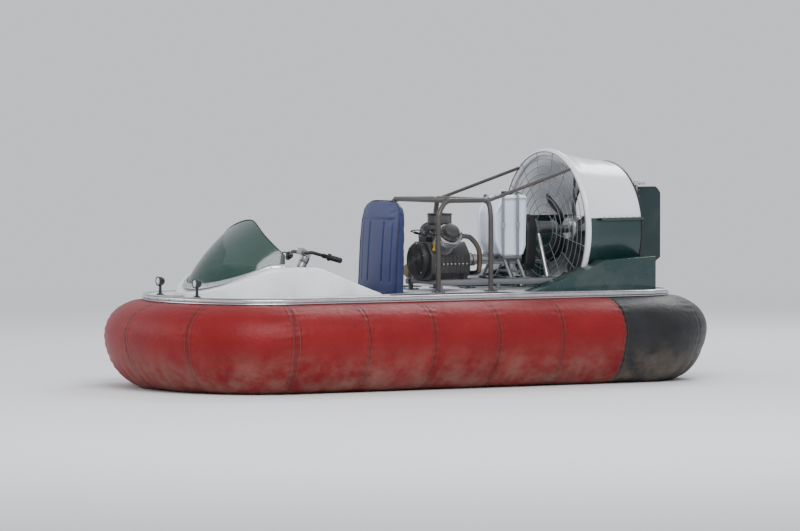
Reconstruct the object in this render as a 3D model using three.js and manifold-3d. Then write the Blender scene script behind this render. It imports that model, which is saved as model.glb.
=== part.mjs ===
// A light recreational hovercraft, in millimetres.
// +X is forward (the bow), +Y is port, +Z is up. The origin is on the ground, under the middle of the craft.
import * as THREE from 'three';
import { mergeVertices } from 'three/addons/utils/BufferGeometryUtils.js';
import Module from 'manifold-3d';

const wasm = await Module();
wasm.setup();

// Driving dimensions
const LENGTH = 3950;           // over the inflated skirt
const BEAM = 2000;             // over the inflated skirt
const BULGE = 265;             // how far the skirt stands out from the gunwale
const HULL_BOTTOM = 120;       // height of the hull's flat bottom when parked
const CHINE = 210;             // where the bottom turns up into the side
const SHEER = 556;             // top of the lower moulding
const DECK = 585;              // top of the deck moulding
const GAP = 0.4;               // between pieces that touch

const BOW = LENGTH / 2 - BULGE;
const STERN = -BOW;
const HALF_WIDTH = BEAM / 2 - BULGE;
const NOSE_RADIUS = 1000;
const BOW_CORNER_RADIUS = 480;
const STERN_CORNER_RADIUS = 330;
const SKIRT_SPLIT = -1090;     // where the red skirt meets the black stern skirt

const COCKPIT = { aft: 60, fore: 1130, half: 455, floor: 250 };
const MAT_TOP = 258;           // top of the rubber mat on the cockpit's floor

// Duct and fan, on one axis along X
const DUCT_Z = 968;
const DUCT_FRONT = -1100;
const DUCT_REAR = -1570;
const LIP_RADIUS = 530;
const THROAT_RADIUS = 412;
const FAN_RADIUS = 400;
const FAN_X = -1325;
const SHAFT_END = -1180;       // rear end of the fan shaft's housing
const DUCT_SPLIT_Z = 1050;     // white upper shell above, dark lower shell below
const DUCT_SEGMENTS = 40;

// Steering
const STEER_X = 700;
const STEER_Z = 800;
const STEER_TILT = 0.5;        // how far the steering axis leans aft of upright, in radians
const RUDDER_X = -1640;
const RUDDER_YS = [250, 0, -250];
const RUDDER_LOW = 690;
const RUDDER_HIGH = 1246;
const HORN = { reach: 89, drop: 6 };   // the arm under each rudder that the tie bar joins

const INK = {
  gelcoat: { color: 0xe9ebee, roughness: 0.25, metalness: 0 },
  hull: { color: 0xd9dbdd, roughness: 0.35, metalness: 0 },
  green: { color: 0x16403c, roughness: 0.35, metalness: 0 },
  skirtRed: { color: 0x8e1418, roughness: 0.6, metalness: 0 },
  skirtBlack: { color: 0x17181a, roughness: 0.7, metalness: 0 },
  rubber: { color: 0x141414, roughness: 0.85, metalness: 0 },
  black: { color: 0x1b1c1e, roughness: 0.45, metalness: 0 },
  blue: { color: 0x14204a, roughness: 0.55, metalness: 0 },
  smoked: { color: 0x1f4a42, roughness: 0.08, metalness: 0 },
  alloy: { color: 0xb3b6ba, roughness: 0.35, metalness: 1 },
  steel: { color: 0x5c5f63, roughness: 0.45, metalness: 1 },
  tank: { color: 0xdde4f0, roughness: 0.4, metalness: 0 },
};

// Geometry helpers

function positionsOnly(geometry) {
  const bare = geometry.index ? geometry.toNonIndexed() : geometry.clone();
  for (const name of Object.keys(bare.attributes)) {
    if (name !== 'position') bare.deleteAttribute(name);
  }
  return bare;
}

function closedMesh(geometry) {
  return outward(mergeVertices(positionsOnly(geometry), 1e-3));
}

function toSolid(geometry) {
  const mesh = closedMesh(geometry);
  return new wasm.Manifold(new wasm.Mesh({
    numProp: 3,
    vertProperties: new Float32Array(mesh.attributes.position.array),
    triVerts: new Uint32Array(mesh.index.array),
  }));
}

function toGeometry(solid) {
  const mesh = solid.getMesh();
  const geometry = new THREE.BufferGeometry();
  geometry.setAttribute('position', new THREE.BufferAttribute(new Float32Array(mesh.vertProperties), 3));
  geometry.setIndex(new THREE.BufferAttribute(new Uint32Array(mesh.triVerts), 1));
  return geometry;
}

function joined(geometries) {
  return toGeometry(geometries.map(toSolid).reduce((whole, next) => whole.add(next)));
}

function cut(geometry, cutters) {
  return toGeometry(cutters.map(toSolid).reduce((whole, next) => whole.subtract(next), toSolid(geometry)));
}

function box(x0, x1, y0, y1, z0, z1) {
  const geometry = new THREE.BoxGeometry(x1 - x0, y1 - y0, z1 - z0);
  return geometry.translate((x0 + x1) / 2, (y0 + y1) / 2, (z0 + z1) / 2);
}

// A straight rod between two points.
function rod(a, b, radius, sides = 8) {
  const from = new THREE.Vector3(...a);
  const along = new THREE.Vector3(...b).sub(from);
  const geometry = new THREE.CylinderGeometry(radius, radius, along.length(), sides);
  const up = new THREE.Vector3(0, 1, 0);
  const turn = new THREE.Quaternion().setFromUnitVectors(up, along.clone().normalize());
  return geometry.applyQuaternion(turn).translate(...from.addScaledVector(along, 0.5).toArray());
}

// Rods through a list of points, with a ball at each bend, as one body.
function bentRods(paths, radius, sides = 8) {
  const pieces = [];
  for (const path of paths) {
    for (let i = 1; i < path.length; i += 1) pieces.push(rod(path[i - 1], path[i], radius, sides));
    for (const bend of path.slice(1, -1)) {
      pieces.push(new THREE.SphereGeometry(radius * 1.04, sides, 4).translate(...bend));
    }
  }
  return pieces;
}

// An outline drawn in X and Z, extruded across Y.
function sideProfile(points, y0, y1) {
  const shape = new THREE.Shape(points.map(([x, z]) => new THREE.Vector2(x, z)));
  const geometry = new THREE.ExtrudeGeometry(shape, { depth: y1 - y0, bevelEnabled: false });
  return geometry.rotateX(Math.PI / 2).translate(0, y1, 0);
}

// An outline drawn in Y and Z, extruded along X.
function frontProfile(points, x0, x1) {
  const shape = new THREE.Shape(points.map(([y, z]) => new THREE.Vector2(y, z)));
  const geometry = new THREE.ExtrudeGeometry(shape, { depth: x1 - x0, bevelEnabled: false });
  return geometry.rotateX(Math.PI / 2).rotateZ(Math.PI / 2).translate(x0, 0, 0);
}

// A plan outline extruded upwards.
function planProfile(points, z0, z1) {
  const shape = new THREE.Shape(points.map(([x, y]) => new THREE.Vector2(x, y)));
  return new THREE.ExtrudeGeometry(shape, { depth: z1 - z0, bevelEnabled: false }).translate(0, 0, z0);
}

// A body turned about a line along X: profile points are (x, radius).
function turnedAboutX(profile, z, segments, y = 0) {
  const points = profile.map(([x, radius]) => new THREE.Vector2(radius, x));
  return new THREE.LatheGeometry(points, segments).rotateZ(-Math.PI / 2).translate(0, y, z);
}

function triangles(points, faces) {
  const geometry = new THREE.BufferGeometry();
  geometry.setAttribute('position', new THREE.Float32BufferAttribute(points.flat(), 3));
  geometry.setIndex(faces.flat());
  return geometry;
}

// Skin over a list of equal loops. Each loop turns the same way, seen from the end of the list.
function loft(loops, closed = false) {
  const count = loops[0].length;
  const faces = [];
  const spans = closed ? loops.length : loops.length - 1;
  for (let i = 0; i < spans; i += 1) {
    const near = i * count;
    const far = ((i + 1) % loops.length) * count;
    for (let j = 0; j < count; j += 1) {
      const k = (j + 1) % count;
      faces.push([near + j, near + k, far + k], [near + j, far + k, far + j]);
    }
  }
  if (!closed) {
    const flat = flatten(loops[0]);
    const ends = THREE.ShapeUtils.triangulateShape(flat, []);
    const last = (loops.length - 1) * count;
    for (const [a, b, c] of ends) {
      faces.push([a, c, b], [last + a, last + b, last + c]);
    }
  }
  return triangles(loops.flat(), faces);
}

// A loop of points in space, seen along its own normal.
function flatten(loop) {
  const points = loop.map((p) => new THREE.Vector3(...p));
  const normal = new THREE.Vector3();
  points.forEach((p, i) => normal.add(new THREE.Vector3().crossVectors(p, points[(i + 1) % points.length])));
  normal.normalize();
  const across = new THREE.Vector3(0, 0, 1);
  if (Math.abs(normal.z) > 0.9) across.set(1, 0, 0);
  const u = new THREE.Vector3().crossVectors(across, normal).normalize();
  const v = new THREE.Vector3().crossVectors(normal, u);
  return points.map((p) => new THREE.Vector2(p.dot(u), p.dot(v)));
}

// Turn every face round if the body is inside out.
function outward(geometry) {
  const p = geometry.attributes.position;
  const index = geometry.index.array;
  const [a, b, c] = [new THREE.Vector3(), new THREE.Vector3(), new THREE.Vector3()];
  let volume = 0;
  for (let i = 0; i < index.length; i += 3) {
    a.fromBufferAttribute(p, index[i]);
    b.fromBufferAttribute(p, index[i + 1]);
    c.fromBufferAttribute(p, index[i + 2]);
    volume += a.dot(b.cross(c));
  }
  if (volume < 0) {
    for (let i = 0; i < index.length; i += 3) [index[i], index[i + 1]] = [index[i + 1], index[i]];
  }
  return geometry;
}

const shell = new THREE.Group();

function place(name, geometry, ink, parent = shell) {
  const mesh = new THREE.Mesh(closedMesh(geometry), new THREE.MeshStandardMaterial(INK[ink]));
  mesh.name = name;
  parent.add(mesh);
  return mesh;
}

// The plan outline of the gunwale

// Stations round an arc: where each lies, and the way out from the hull there.
function arcStations(cx, cy, radius, fromDeg, toDeg, steps) {
  return Array.from({ length: steps + 1 }, (_, i) => {
    const angle = THREE.MathUtils.degToRad(fromDeg + (toDeg - fromDeg) * i / steps);
    const [nx, ny] = [Math.cos(angle), Math.sin(angle)];
    return { x: cx + radius * nx, y: cy + radius * ny, nx, ny };
  });
}

const NOSE_CENTRE = BOW - NOSE_RADIUS;
const BOW_CORNER_Y = HALF_WIDTH - BOW_CORNER_RADIUS;
const BOW_CORNER_X = NOSE_CENTRE + Math.sqrt((NOSE_RADIUS - BOW_CORNER_RADIUS) ** 2 - BOW_CORNER_Y ** 2);
const NOSE_DEG = THREE.MathUtils.radToDeg(Math.atan2(BOW_CORNER_Y, BOW_CORNER_X - NOSE_CENTRE));
const STERN_CORNER_X = STERN + STERN_CORNER_RADIUS;
const STERN_CORNER_Y = HALF_WIDTH - STERN_CORNER_RADIUS;

// From starboard forward, round the bow, to port.
const bowStations = [
  ...arcStations(BOW_CORNER_X, -BOW_CORNER_Y, BOW_CORNER_RADIUS, -90, -NOSE_DEG, 5),
  ...arcStations(NOSE_CENTRE, 0, NOSE_RADIUS, -NOSE_DEG, NOSE_DEG, 6).slice(1),
  ...arcStations(BOW_CORNER_X, BOW_CORNER_Y, BOW_CORNER_RADIUS, NOSE_DEG, 90, 5).slice(1),
];
// From port aft, round the stern, to starboard.
const sternStations = [
  ...arcStations(STERN_CORNER_X, STERN_CORNER_Y, STERN_CORNER_RADIUS, 90, 180, 5),
  ...arcStations(STERN_CORNER_X, -STERN_CORNER_Y, STERN_CORNER_RADIUS, 180, 270, 5),
];
const allStations = [...bowStations, ...sternStations];

function sideStation(x, side) {
  return { x, y: side * HALF_WIDTH, nx: 0, ny: side };
}

function offsetPoint(station, offset, z) {
  return [station.x + station.nx * offset, station.y + station.ny * offset, z];
}

// The whole plan outline, stacked at several heights: rows are height and offset from the gunwale.
function hullStack(rows) {
  return loft(rows.map(([z, offset]) => allStations.map((station) => offsetPoint(station, offset, z))));
}

// A section carried round the gunwale: its points are offset from the gunwale and height.
function carried(stations, section, closed = false) {
  const rings = stations.map((station) => section.map(([offset, z]) => offsetPoint(station, offset, z)));
  return loft(rings, closed);
}

function roundedPlan(x0, x1, half, radius, steps = 4) {
  const corners = [
    [x1 - radius, half - radius, 0],
    [x0 + radius, half - radius, 90],
    [x0 + radius, radius - half, 180],
    [x1 - radius, radius - half, 270],
  ];
  return corners.flatMap(([cx, cy, from]) => Array.from({ length: steps + 1 }, (_, i) => {
    const angle = THREE.MathUtils.degToRad(from + 90 * i / steps);
    return [cx + radius * Math.cos(angle), cy + radius * Math.sin(angle)];
  }));
}

// Duct surfaces, as (x from the front face, radius)
const DUCT_LENGTH = DUCT_FRONT - DUCT_REAR;
const ductOuter = [[26, 522], [110, 496], [250, 466], [DUCT_LENGTH, 440]];
const ductInner = [[DUCT_LENGTH, THROAT_RADIUS], [185, THROAT_RADIUS], [110, 426], [60, 450], [26, 486]];

function ductProfile(rows) {
  return rows.map(([back, radius]) => [DUCT_FRONT - back, radius]);
}

// A solid plug the size of the duct's outside, grown by a gap, to cut its seat out of other pieces.
function ductPlug(gap) {
  const rows = [[-20, 0], [-20, LIP_RADIUS + 12], [40, LIP_RADIUS + 12]];
  for (const [back, radius] of ductOuter.slice(1)) rows.push([back, radius + gap]);
  rows.push([DUCT_LENGTH + 40, ductOuter.at(-1)[1] + gap], [DUCT_LENGTH + 40, 0]);
  return turnedAboutX(ductProfile(rows), DUCT_Z, DUCT_SEGMENTS);
}

// The passage that takes lift air down through the stern, and where the stern's deck begins
const LIFT_DUCT = { aft: -1545, fore: -1405, half: 190 };
const STERN_DECK = DUCT_FRONT + 30;

function liftDuctCutter() {
  return box(LIFT_DUCT.aft, LIFT_DUCT.fore, -LIFT_DUCT.half, LIFT_DUCT.half, HULL_BOTTOM - 50, 620);
}

// Hull and deck

// How far the hull's side lies inside the gunwale at a height above the chine.
function sideOffset(z) {
  return -45 + 33 * (z - CHINE) / (SHEER - CHINE);
}

// Cutters that take away all that lies aft, or forward, of a station.
function aftOf(x) {
  return box(-LENGTH, x, -BEAM, BEAM, 0, DECK + 100);
}

function foreOf(x) {
  return box(x, LENGTH, -BEAM, BEAM, 0, DECK + 100);
}

function cockpitPlan() {
  return roundedPlan(COCKPIT.aft, COCKPIT.fore, COCKPIT.half, 60, 2);
}

function buildHull() {
  const pan = hullStack([[HULL_BOTTOM, -150], [CHINE, -45], [COCKPIT.floor, sideOffset(COCKPIT.floor)]]);
  place('hull_pan', cut(pan, [aftOf(LIFT_DUCT.fore)]), 'hull');
  place('stern_pan', cut(pan, [foreOf(LIFT_DUCT.fore - GAP), liftDuctCutter()]), 'hull');
  const sidesLow = COCKPIT.floor + GAP;
  const sides = hullStack([[sidesLow, sideOffset(sidesLow)], [SHEER, sideOffset(SHEER)]]);
  const well = planProfile(cockpitPlan(), COCKPIT.floor - 20, SHEER + 20);
  place('hull_sides', cut(sides, [well, ductPlug(GAP), liftDuctCutter()]), 'hull');

  const plate = hullStack([[SHEER + GAP, -1], [DECK, -1]]);
  const hatch = planProfile(cockpitPlan(), SHEER - 20, DECK + 20);
  place('deck_moulding', cut(plate, [hatch, aftOf(STERN_DECK)]), 'gelcoat');
  place('stern_deck', cut(plate, [foreOf(STERN_DECK - GAP), ductPlug(GAP), liftDuctCutter()]), 'gelcoat');

  const railSection = [[-0.5, 549.3], [14, 549.3], [18, 562], [18, 582], [12, 590], [-0.5, 590]];
  place('gunwale_rail', carried(allStations, railSection, true), 'alloy');

  const matPlan = roundedPlan(COCKPIT.aft + 620, COCKPIT.fore - 40, 400, 60);
  place('floor_mat', planProfile(matPlan, COCKPIT.floor + GAP, MAT_TOP), 'rubber');
}

// Flat pads on the deck: one to step on along each side, and a plate for a tow eye at the bow.
const SIDE_PAD = { aft: -470, fore: 380, y: 595, half: 90, corner: 30, thick: 4 };
const BOW_PLATE = { aft: 1585, fore: 1685, half: 70, corner: 16, thick: 6 };

function buildPads() {
  for (const [name, side] of [['deck_pad_port', 1], ['deck_pad_starboard', -1]]) {
    const plan = roundedPlan(SIDE_PAD.aft, SIDE_PAD.fore, SIDE_PAD.half, SIDE_PAD.corner);
    const pad = planProfile(plan, DECK + GAP, DECK + SIDE_PAD.thick).translate(0, side * SIDE_PAD.y, 0);
    place(name, pad, 'rubber');
  }
  const plate = roundedPlan(BOW_PLATE.aft, BOW_PLATE.fore, BOW_PLATE.half, BOW_PLATE.corner);
  place('bow_plate', planProfile(plate, DECK + GAP, DECK + BOW_PLATE.thick), 'alloy');
}

// The skirt's section, from its top edge, round the outside and back up the hull's side
const skirtSection = [
  [-12.1, 548.8], [12, 548.8], [95, 536], [180, 492], [236, 430], [BULGE, 345], [252, 240],
  [208, 140], [138, 58], [52, 8], [-20, 2.5], [-86, 30], [-135, 84], [-149.2, 119.2], [-44.3, 209.4],
];

function buildSkirt() {
  const splitGap = 1;
  const redEnd = SKIRT_SPLIT + splitGap;
  const front = [sideStation(redEnd, -1), ...bowStations, sideStation(redEnd, 1)];
  const rear = [sideStation(SKIRT_SPLIT, 1), ...sternStations, sideStation(SKIRT_SPLIT, -1)];
  place('skirt_bag', carried(front, skirtSection), 'skirtRed');
  place('skirt_stern', carried(rear, skirtSection), 'skirtBlack');
}

function buildSkids() {
  const rows = [['skid_port', 400], ['skid_starboard', -400]];
  for (const [name, y] of rows) {
    const outline = [[-1180, 0], [1120, 0], [1290, 60], [1330, 119.6], [-1240, 119.6], [-1240, 60]];
    place(name, sideProfile(outline, y - 45, y + 45), 'black');
  }
}

// Cowl round the front of the cockpit

const COWL = { nose: 1560, top: 1190, back: 880, tail: 430, low: 596, high: 768, half: 512, wall: 34 };

// The cowl's side outline, with its top moved by a rise.
function cowlOutline(rise, base = DECK + GAP) {
  return [
    [COWL.tail, base], [COWL.nose, base], [COWL.nose, COWL.low + rise], [COWL.top, COWL.high + rise],
    [COWL.back, COWL.high + rise], [COWL.tail, COWL.low + rise],
  ];
}

// The plan of the cowl: straight sides and a half-oval nose.
function cowlPlan(inset) {
  const half = COWL.half - inset;
  const straight = 1020;
  const reach = COWL.nose - inset - straight;
  const arc = Array.from({ length: 13 }, (_, i) => {
    const angle = -Math.PI / 2 + Math.PI * i / 12;
    return [straight + reach * Math.cos(angle), half * Math.sin(angle)];
  });
  return [...arc, [COWL.tail, half], [COWL.tail, -half]];
}

function buildCowl() {
  const plan = planProfile(cowlPlan(0), DECK, COWL.high + 50);
  const rise = sideProfile(cowlOutline(0), -COWL.half - 10, COWL.half + 10);
  const outside = toSolid(plan).intersect(toSolid(rise));
  const innerPlan = planProfile(cowlPlan(COWL.wall), DECK - 20, COWL.high + 50);
  const innerRise = sideProfile(cowlOutline(-26, DECK - 20), -COWL.half, COWL.half);
  const underHood = toSolid(innerPlan).intersect(toSolid(innerRise));
  const mouthHalf = COWL.half - COWL.wall;
  const mouth = box(COWL.tail - 60, 960, -mouthHalf, mouthHalf, DECK - 20, COWL.high + 60);
  const floorCut = planProfile(cowlPlan(COWL.wall), DECK - 20, DECK + 4);
  const body = outside.subtract(underHood).subtract(toSolid(mouth)).subtract(toSolid(floorCut));
  place('dash_cowl', toGeometry(body), 'gelcoat');

  const panelOutline = [[962, 600], [985, 600], [1012, 741], [962, 741]];
  const panelHalf = COWL.half - COWL.wall - GAP;
  place('dash_panel', sideProfile(panelOutline, -panelHalf, panelHalf), 'black');
  const dials = [-150, -50, 50, 150].map((y) => rod([955, y, 672], [930, y, 668], 36, 16));
  place('dial_cluster', joined([box(948, 961.6, -200, 200, 650, 690), ...dials]), 'black');
}

// The windscreen: rows are height, centre in X, reach forward of it, and half-width.
const SCREEN_ROWS = [
  [560, 1050, 490, 468],
  [700, 1040, 425, 440],
  [840, 1025, 335, 395],
  [960, 1010, 215, 335],
  [1060, 1000, 90, 260],
];
const SCREEN_DEGREES = [-84, -70, -54, -36, -18, 0, 18, 36, 54, 70, 84];

function screenPoint(degrees, z, offset) {
  const above = Math.max(1, SCREEN_ROWS.findIndex((row) => row[0] >= z));
  const [lower, upper] = [SCREEN_ROWS[above - 1], SCREEN_ROWS[above]];
  const share = (z - lower[0]) / (upper[0] - lower[0]);
  const [, centre, reach, half] = lower.map((value, i) => value + (upper[i] - value) * share);
  const angle = THREE.MathUtils.degToRad(degrees);
  return [centre + (reach + offset) * Math.cos(angle), (half + offset) * Math.sin(angle), z];
}

function screenTop(degrees) {
  return 800 + 255 * Math.cos(THREE.MathUtils.degToRad(degrees)) ** 0.8;
}

function cowlHeight(x) {
  const slope = (COWL.high - COWL.low) / (COWL.nose - COWL.top);
  return Math.min(COWL.high, COWL.high - (x - COWL.top) * slope);
}

// A wall round the screen's curve: each station is a closed strip from low to high, and back inside.
function screenWall(lowZ, highZ, inner, outer, steps) {
  const loops = SCREEN_DEGREES.map((degrees) => {
    const [low, high] = [lowZ(degrees), highZ(degrees)];
    const heights = Array.from({ length: steps + 1 }, (_, i) => low + (high - low) * i / steps);
    return [
      ...heights.map((z) => screenPoint(degrees, z, outer)),
      ...heights.reverse().map((z) => screenPoint(degrees, z, inner)),
    ];
  });
  return loft(loops);
}

function buildScreen() {
  const underneath = sideProfile(cowlOutline(GAP), -700, 700);
  const baseZ = () => DECK + 5;
  place('windscreen', cut(screenWall(baseZ, screenTop, -5, 0, 4), [underneath]), 'smoked');
  const footX = (degrees) => screenPoint(degrees, 700, 0)[0];
  const footZ = (degrees) => cowlHeight(footX(degrees)) + 22;
  place('screen_moulding', cut(screenWall(baseZ, footZ, 4, 16, 1), [underneath]), 'steel');

  const rows = [['bow_lamp_port', 250], ['bow_lamp_starboard', -250]];
  for (const [name, y] of rows) {
    const foot = new THREE.CylinderGeometry(16, 24, 14, 12).rotateX(Math.PI / 2);
    foot.translate(1600, y, DECK + GAP + 7);
    const stalk = rod([1600, y, DECK + 6], [1600, y, DECK + 66], 9, 10);
    const ball = new THREE.SphereGeometry(30, 14, 10).rotateX(Math.PI / 2).translate(1600, y, DECK + 86);
    place(name, joined([foot, stalk, ball]), 'black');
  }
}

// Seat

function buildSeat() {
  const half = 270;
  const baseOutline = [[90, 250.4], [560, 250.4], [590, 300], [590, 500], [90, 500]];
  place('seat_base', sideProfile(baseOutline, -half, half), 'hull');
  const cushion = [[196, 500.5], [600, 500.5], [606, 520], [606, 590], [580, 612], [196, 600]];
  place('seat_cushion', sideProfile(cushion, -half, half), 'blue');
  const back = [
    [92, 500.5], [195, 500.5], [178, 900], [150, 1150], [132, 1172], [86, 1168], [70, 1140], [76, 900],
  ];
  place('seat_back', sideProfile(back, -half + 20, half - 20), 'blue');
}

// Steering: the bar turns on a column that leans aft

const steerAxis = new THREE.Vector3(-Math.sin(STEER_TILT), 0, Math.cos(STEER_TILT));
const steerPivot = new THREE.Vector3(STEER_X, 0, STEER_Z);

function alongSteer(distance) {
  return steerPivot.clone().addScaledVector(steerAxis, distance).toArray();
}

function buildSteering() {
  const postLength = (STEER_Z - MAT_TOP - GAP) / Math.cos(STEER_TILT);
  const foot = alongSteer(-postLength);
  const post = rod(alongSteer(-postLength + 18), alongSteer(-24), 24, 10);
  const footPlate = box(foot[0] - 55, foot[0] + 45, -60, 60, MAT_TOP + GAP, MAT_TOP + 10);
  const braceZ = 617;
  const braceX = STEER_X + (STEER_Z - braceZ) * Math.tan(STEER_TILT);
  const brace = box(braceX - 10, 962 - GAP, -22, 22, braceZ - 9, braceZ + 9);
  place('steering_column', joined([post, footPlate, brace]), 'steel');

  const bar = [];
  const halfBar = [[20, 0], [40, 120], [-15, 250], [-60, 345]];
  const forward = new THREE.Vector3(Math.cos(STEER_TILT), 0, Math.sin(STEER_TILT));
  const barPoint = (reach, y) => {
    const at = steerPivot.clone().addScaledVector(steerAxis, 34).addScaledVector(forward, reach);
    return [at.x, y, at.z];
  };
  for (const side of [1, -1]) {
    const points = halfBar.map(([reach, y]) => barPoint(reach, side * y));
    bar.push(...bentRods([points], 12, 6));
    bar.push(rod(barPoint(-20, side * 260), barPoint(-60, side * 345), 18, 8));
    bar.push(rod(barPoint(12, side * 215), barPoint(20, side * 320), 6, 6));
    bar.push(rod(barPoint(-8, side * 232), barPoint(14, side * 222), 7, 6));
  }
  bar.push(rod(alongSteer(-23.5), alongSteer(50), 30, 10));
  bar.push(rod(barPoint(-10, 0), barPoint(36, 0), 26, 8));
  place('handlebar', joined(bar), 'black');
}

// Engine, ahead of the duct

const ENGINE = { aft: -440, fore: -150, half: 150, high: 900, crankZ: 780 };
const RAIL_Z = 640;
const RAIL_RADIUS = 19;
const CROSS_RADIUS = 14;

const CYLINDER = { radius: 82, barrel: 150, length: 190, fins: 5, port: 120, portRadius: 22, portReach: 84 };

// A barrel with fins, then the rocker cover, turned about Z.
function finnedCylinder() {
  const { radius, barrel, length, fins } = CYLINDER;
  const core = radius * 0.72;
  const profile = [[0, 0], [core, 0]];
  const pitch = barrel / fins;
  for (let i = 0; i < fins; i += 1) {
    const at = pitch * (i + 0.4);
    profile.push([core, at], [radius, at + 1], [radius, at + 5], [core, at + 6]);
  }
  const cover = [
    [66, barrel], [66, barrel + 8], [54, barrel + 12], [50, length - 4], [43, length], [0, length],
  ];
  profile.push([core, barrel], ...cover);
  return new THREE.LatheGeometry(profile.map(([r, z]) => new THREE.Vector2(r, z)), 12).rotateX(Math.PI / 2);
}

function buildEngine() {
  const rails = [];
  const railY = 190;
  for (const y of [railY, -railY]) {
    rails.push(rod([-160, y, RAIL_Z], [-1075, y, RAIL_Z], RAIL_RADIUS, 8));
    for (const x of [-190, -620, -1000]) {
      rails.push(rod([x, y, DECK + 4], [x, y, RAIL_Z], 16, 8));
      rails.push(box(x - 40, x + 40, y - 40, y + 40, DECK + GAP, DECK + 8));
    }
  }
  for (const x of [-190, -410, -620, -1000]) {
    rails.push(rod([x, -railY, RAIL_Z], [x, railY, RAIL_Z], CROSS_RADIUS, 8));
  }
  place('engine_frame', joined(rails), 'steel');

  const shoulder = { low: [ENGINE.half, 820], high: [80, ENGINE.high] };
  const sumpZ = RAIL_Z + CROSS_RADIUS + GAP;
  const halfSection = [[110, sumpZ], [ENGINE.half, 700], shoulder.low, shoulder.high];
  const section = [...halfSection, ...halfSection.map(([y, z]) => [-y, z]).reverse()];
  const crankcase = frontProfile(section, ENGINE.aft, ENGINE.fore);
  const [wheelAft, wheelFore] = [ENGINE.fore - 1, ENGINE.fore + 45];
  const wheel = [[wheelAft, 0], [wheelAft, 120], [wheelFore, 108], [wheelFore, 0]];
  const flywheel = turnedAboutX(wheel, ENGINE.crankZ, 16);
  const output = rod([ENGINE.aft + 10, 0, ENGINE.crankZ], [-898, 0, ENGINE.crankZ], 34, 12);
  place('engine_block', joined([crankcase, flywheel, output]), 'steel');

  // The cylinders stand square on the crankcase's sloping shoulders.
  const [runY, runZ] = [shoulder.high[0] - shoulder.low[0], shoulder.high[1] - shoulder.low[1]];
  const tilt = Math.atan2(runZ, -runY);
  const seatY = (shoulder.low[0] + shoulder.high[0]) / 2 + GAP * Math.sin(tilt);
  const seatZ = (shoulder.low[1] + shoulder.high[1]) / 2 + GAP * Math.cos(tilt);
  const filterX = -295;
  const rows = [['cylinder_port', filterX + 55, 1], ['cylinder_starboard', filterX - 55, -1]];
  const portY = seatY + CYLINDER.port * Math.sin(tilt);
  const portZ = seatZ + CYLINDER.port * Math.cos(tilt);
  for (const [name, x, side] of rows) {
    const barrel = finnedCylinder().rotateX(-side * tilt).translate(x, side * seatY, seatZ);
    const portEnd = [x - CYLINDER.portReach, side * portY, portZ];
    const exhaustPort = rod([x, side * portY, portZ], portEnd, CYLINDER.portRadius, 10);
    place(name, joined([barrel, exhaustPort]), 'alloy');
  }
  const neck = rod([filterX, 0, ENGINE.high + GAP], [filterX, 0, 1010], 30, 12);
  const pan = new THREE.CylinderGeometry(80, 80, 76, 18).rotateX(Math.PI / 2).translate(filterX, 0, 1044);
  place('air_filter', joined([neck, pan]), 'black');

  const canY = -272;
  const canZ = 705;
  const can = [[-570, 0], [-570, 36], [-548, 52], [-222, 52], [-200, 36], [-200, 0]];
  const silencer = turnedAboutX(can, canZ, 14, canY);
  const bracket = box(-440, -380, canY + 10, -170, RAIL_Z + RAIL_RADIUS + GAP, RAIL_Z + RAIL_RADIUS + 12);
  const tail = rod([-550, canY, canZ], [-690, -420, 725], 22, 8);

  // Both header pipes run aft from the cylinders' exhaust ports. The port one crosses under the output shaft.
  const [portStart, starboardStart] = rows.map(([, x]) => x - CYLINDER.portReach - GAP);
  const crossZ = 697;
  const headers = [
    [[portStart, portY, portZ], [portStart - 22, portY, portZ], [-404, 208, 926], [-466, 206, 850],
      [-486, 180, 735], [-486, 125, crossZ], [-486, -130, crossZ], [-470, canY + 10, canZ - 2]],
    [[starboardStart, -portY, portZ], [starboardStart - 22, -portY, portZ], [-492, -214, 914],
      [-516, -238, 860], [-498, -265, 785], [-480, canY, 720]],
  ];
  const flanges = [portStart, starboardStart].map((x, i) => {
    const y = i === 0 ? portY : -portY;
    return rod([x, y, portZ], [x - 7, y, portZ], 29, 10);
  });
  const pipes = [tail, ...bentRods(headers, 17, 8), ...flanges];
  place('exhaust_silencer', joined([silencer, bracket, ...pipes]), 'steel');
}

// Belt drive and fan shaft

const BELT = { aft: -975, fore: -900, crankR: 80, fanR: 100 };

function beltOutline() {
  const arc = (cz, radius, from, to, steps) => Array.from({ length: steps + 1 }, (_, i) => {
    const angle = from + (to - from) * i / steps;
    return [radius * Math.cos(angle), cz + radius * Math.sin(angle)];
  });
  const overFan = arc(DUCT_Z, BELT.fanR, 0, Math.PI, 10);
  return [...overFan, ...arc(ENGINE.crankZ, BELT.crankR, Math.PI, 2 * Math.PI, 10)];
}

function buildDrive() {
  place('belt_cover', frontProfile(beltOutline(), BELT.aft, BELT.fore + 1.6), 'black');

  const pylon = [];
  const pylonX = -1020;
  for (const side of [1, -1]) {
    pylon.push(...bentRods([[[pylonX, side * 150, RAIL_Z + 25], [pylonX, side * 40, DUCT_Z - 30]]], 15, 8));
    const [footLow, footHigh] = [RAIL_Z + RAIL_RADIUS + GAP, RAIL_Z + 32];
    pylon.push(box(pylonX - 34, pylonX + 34, side * 160 - 32, side * 160 + 32, footLow, footHigh));
  }
  pylon.push(rod([pylonX, -118, 760], [pylonX, 118, 760], 12, 8));
  const housing = [
    [SHAFT_END, 0], [SHAFT_END, 42], [-1168, 58], [-1010, 58], [-990, 74],
    [BELT.aft - GAP, 74], [BELT.aft - GAP, 0],
  ];
  pylon.push(turnedAboutX(housing, DUCT_Z, 16));
  place('shaft_housing', joined(pylon), 'alloy');
}

// White tank on its tray, over the drive
const TANK = { aft: -890, fore: -640, half: 115, low: 800, high: 1196 };

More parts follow.
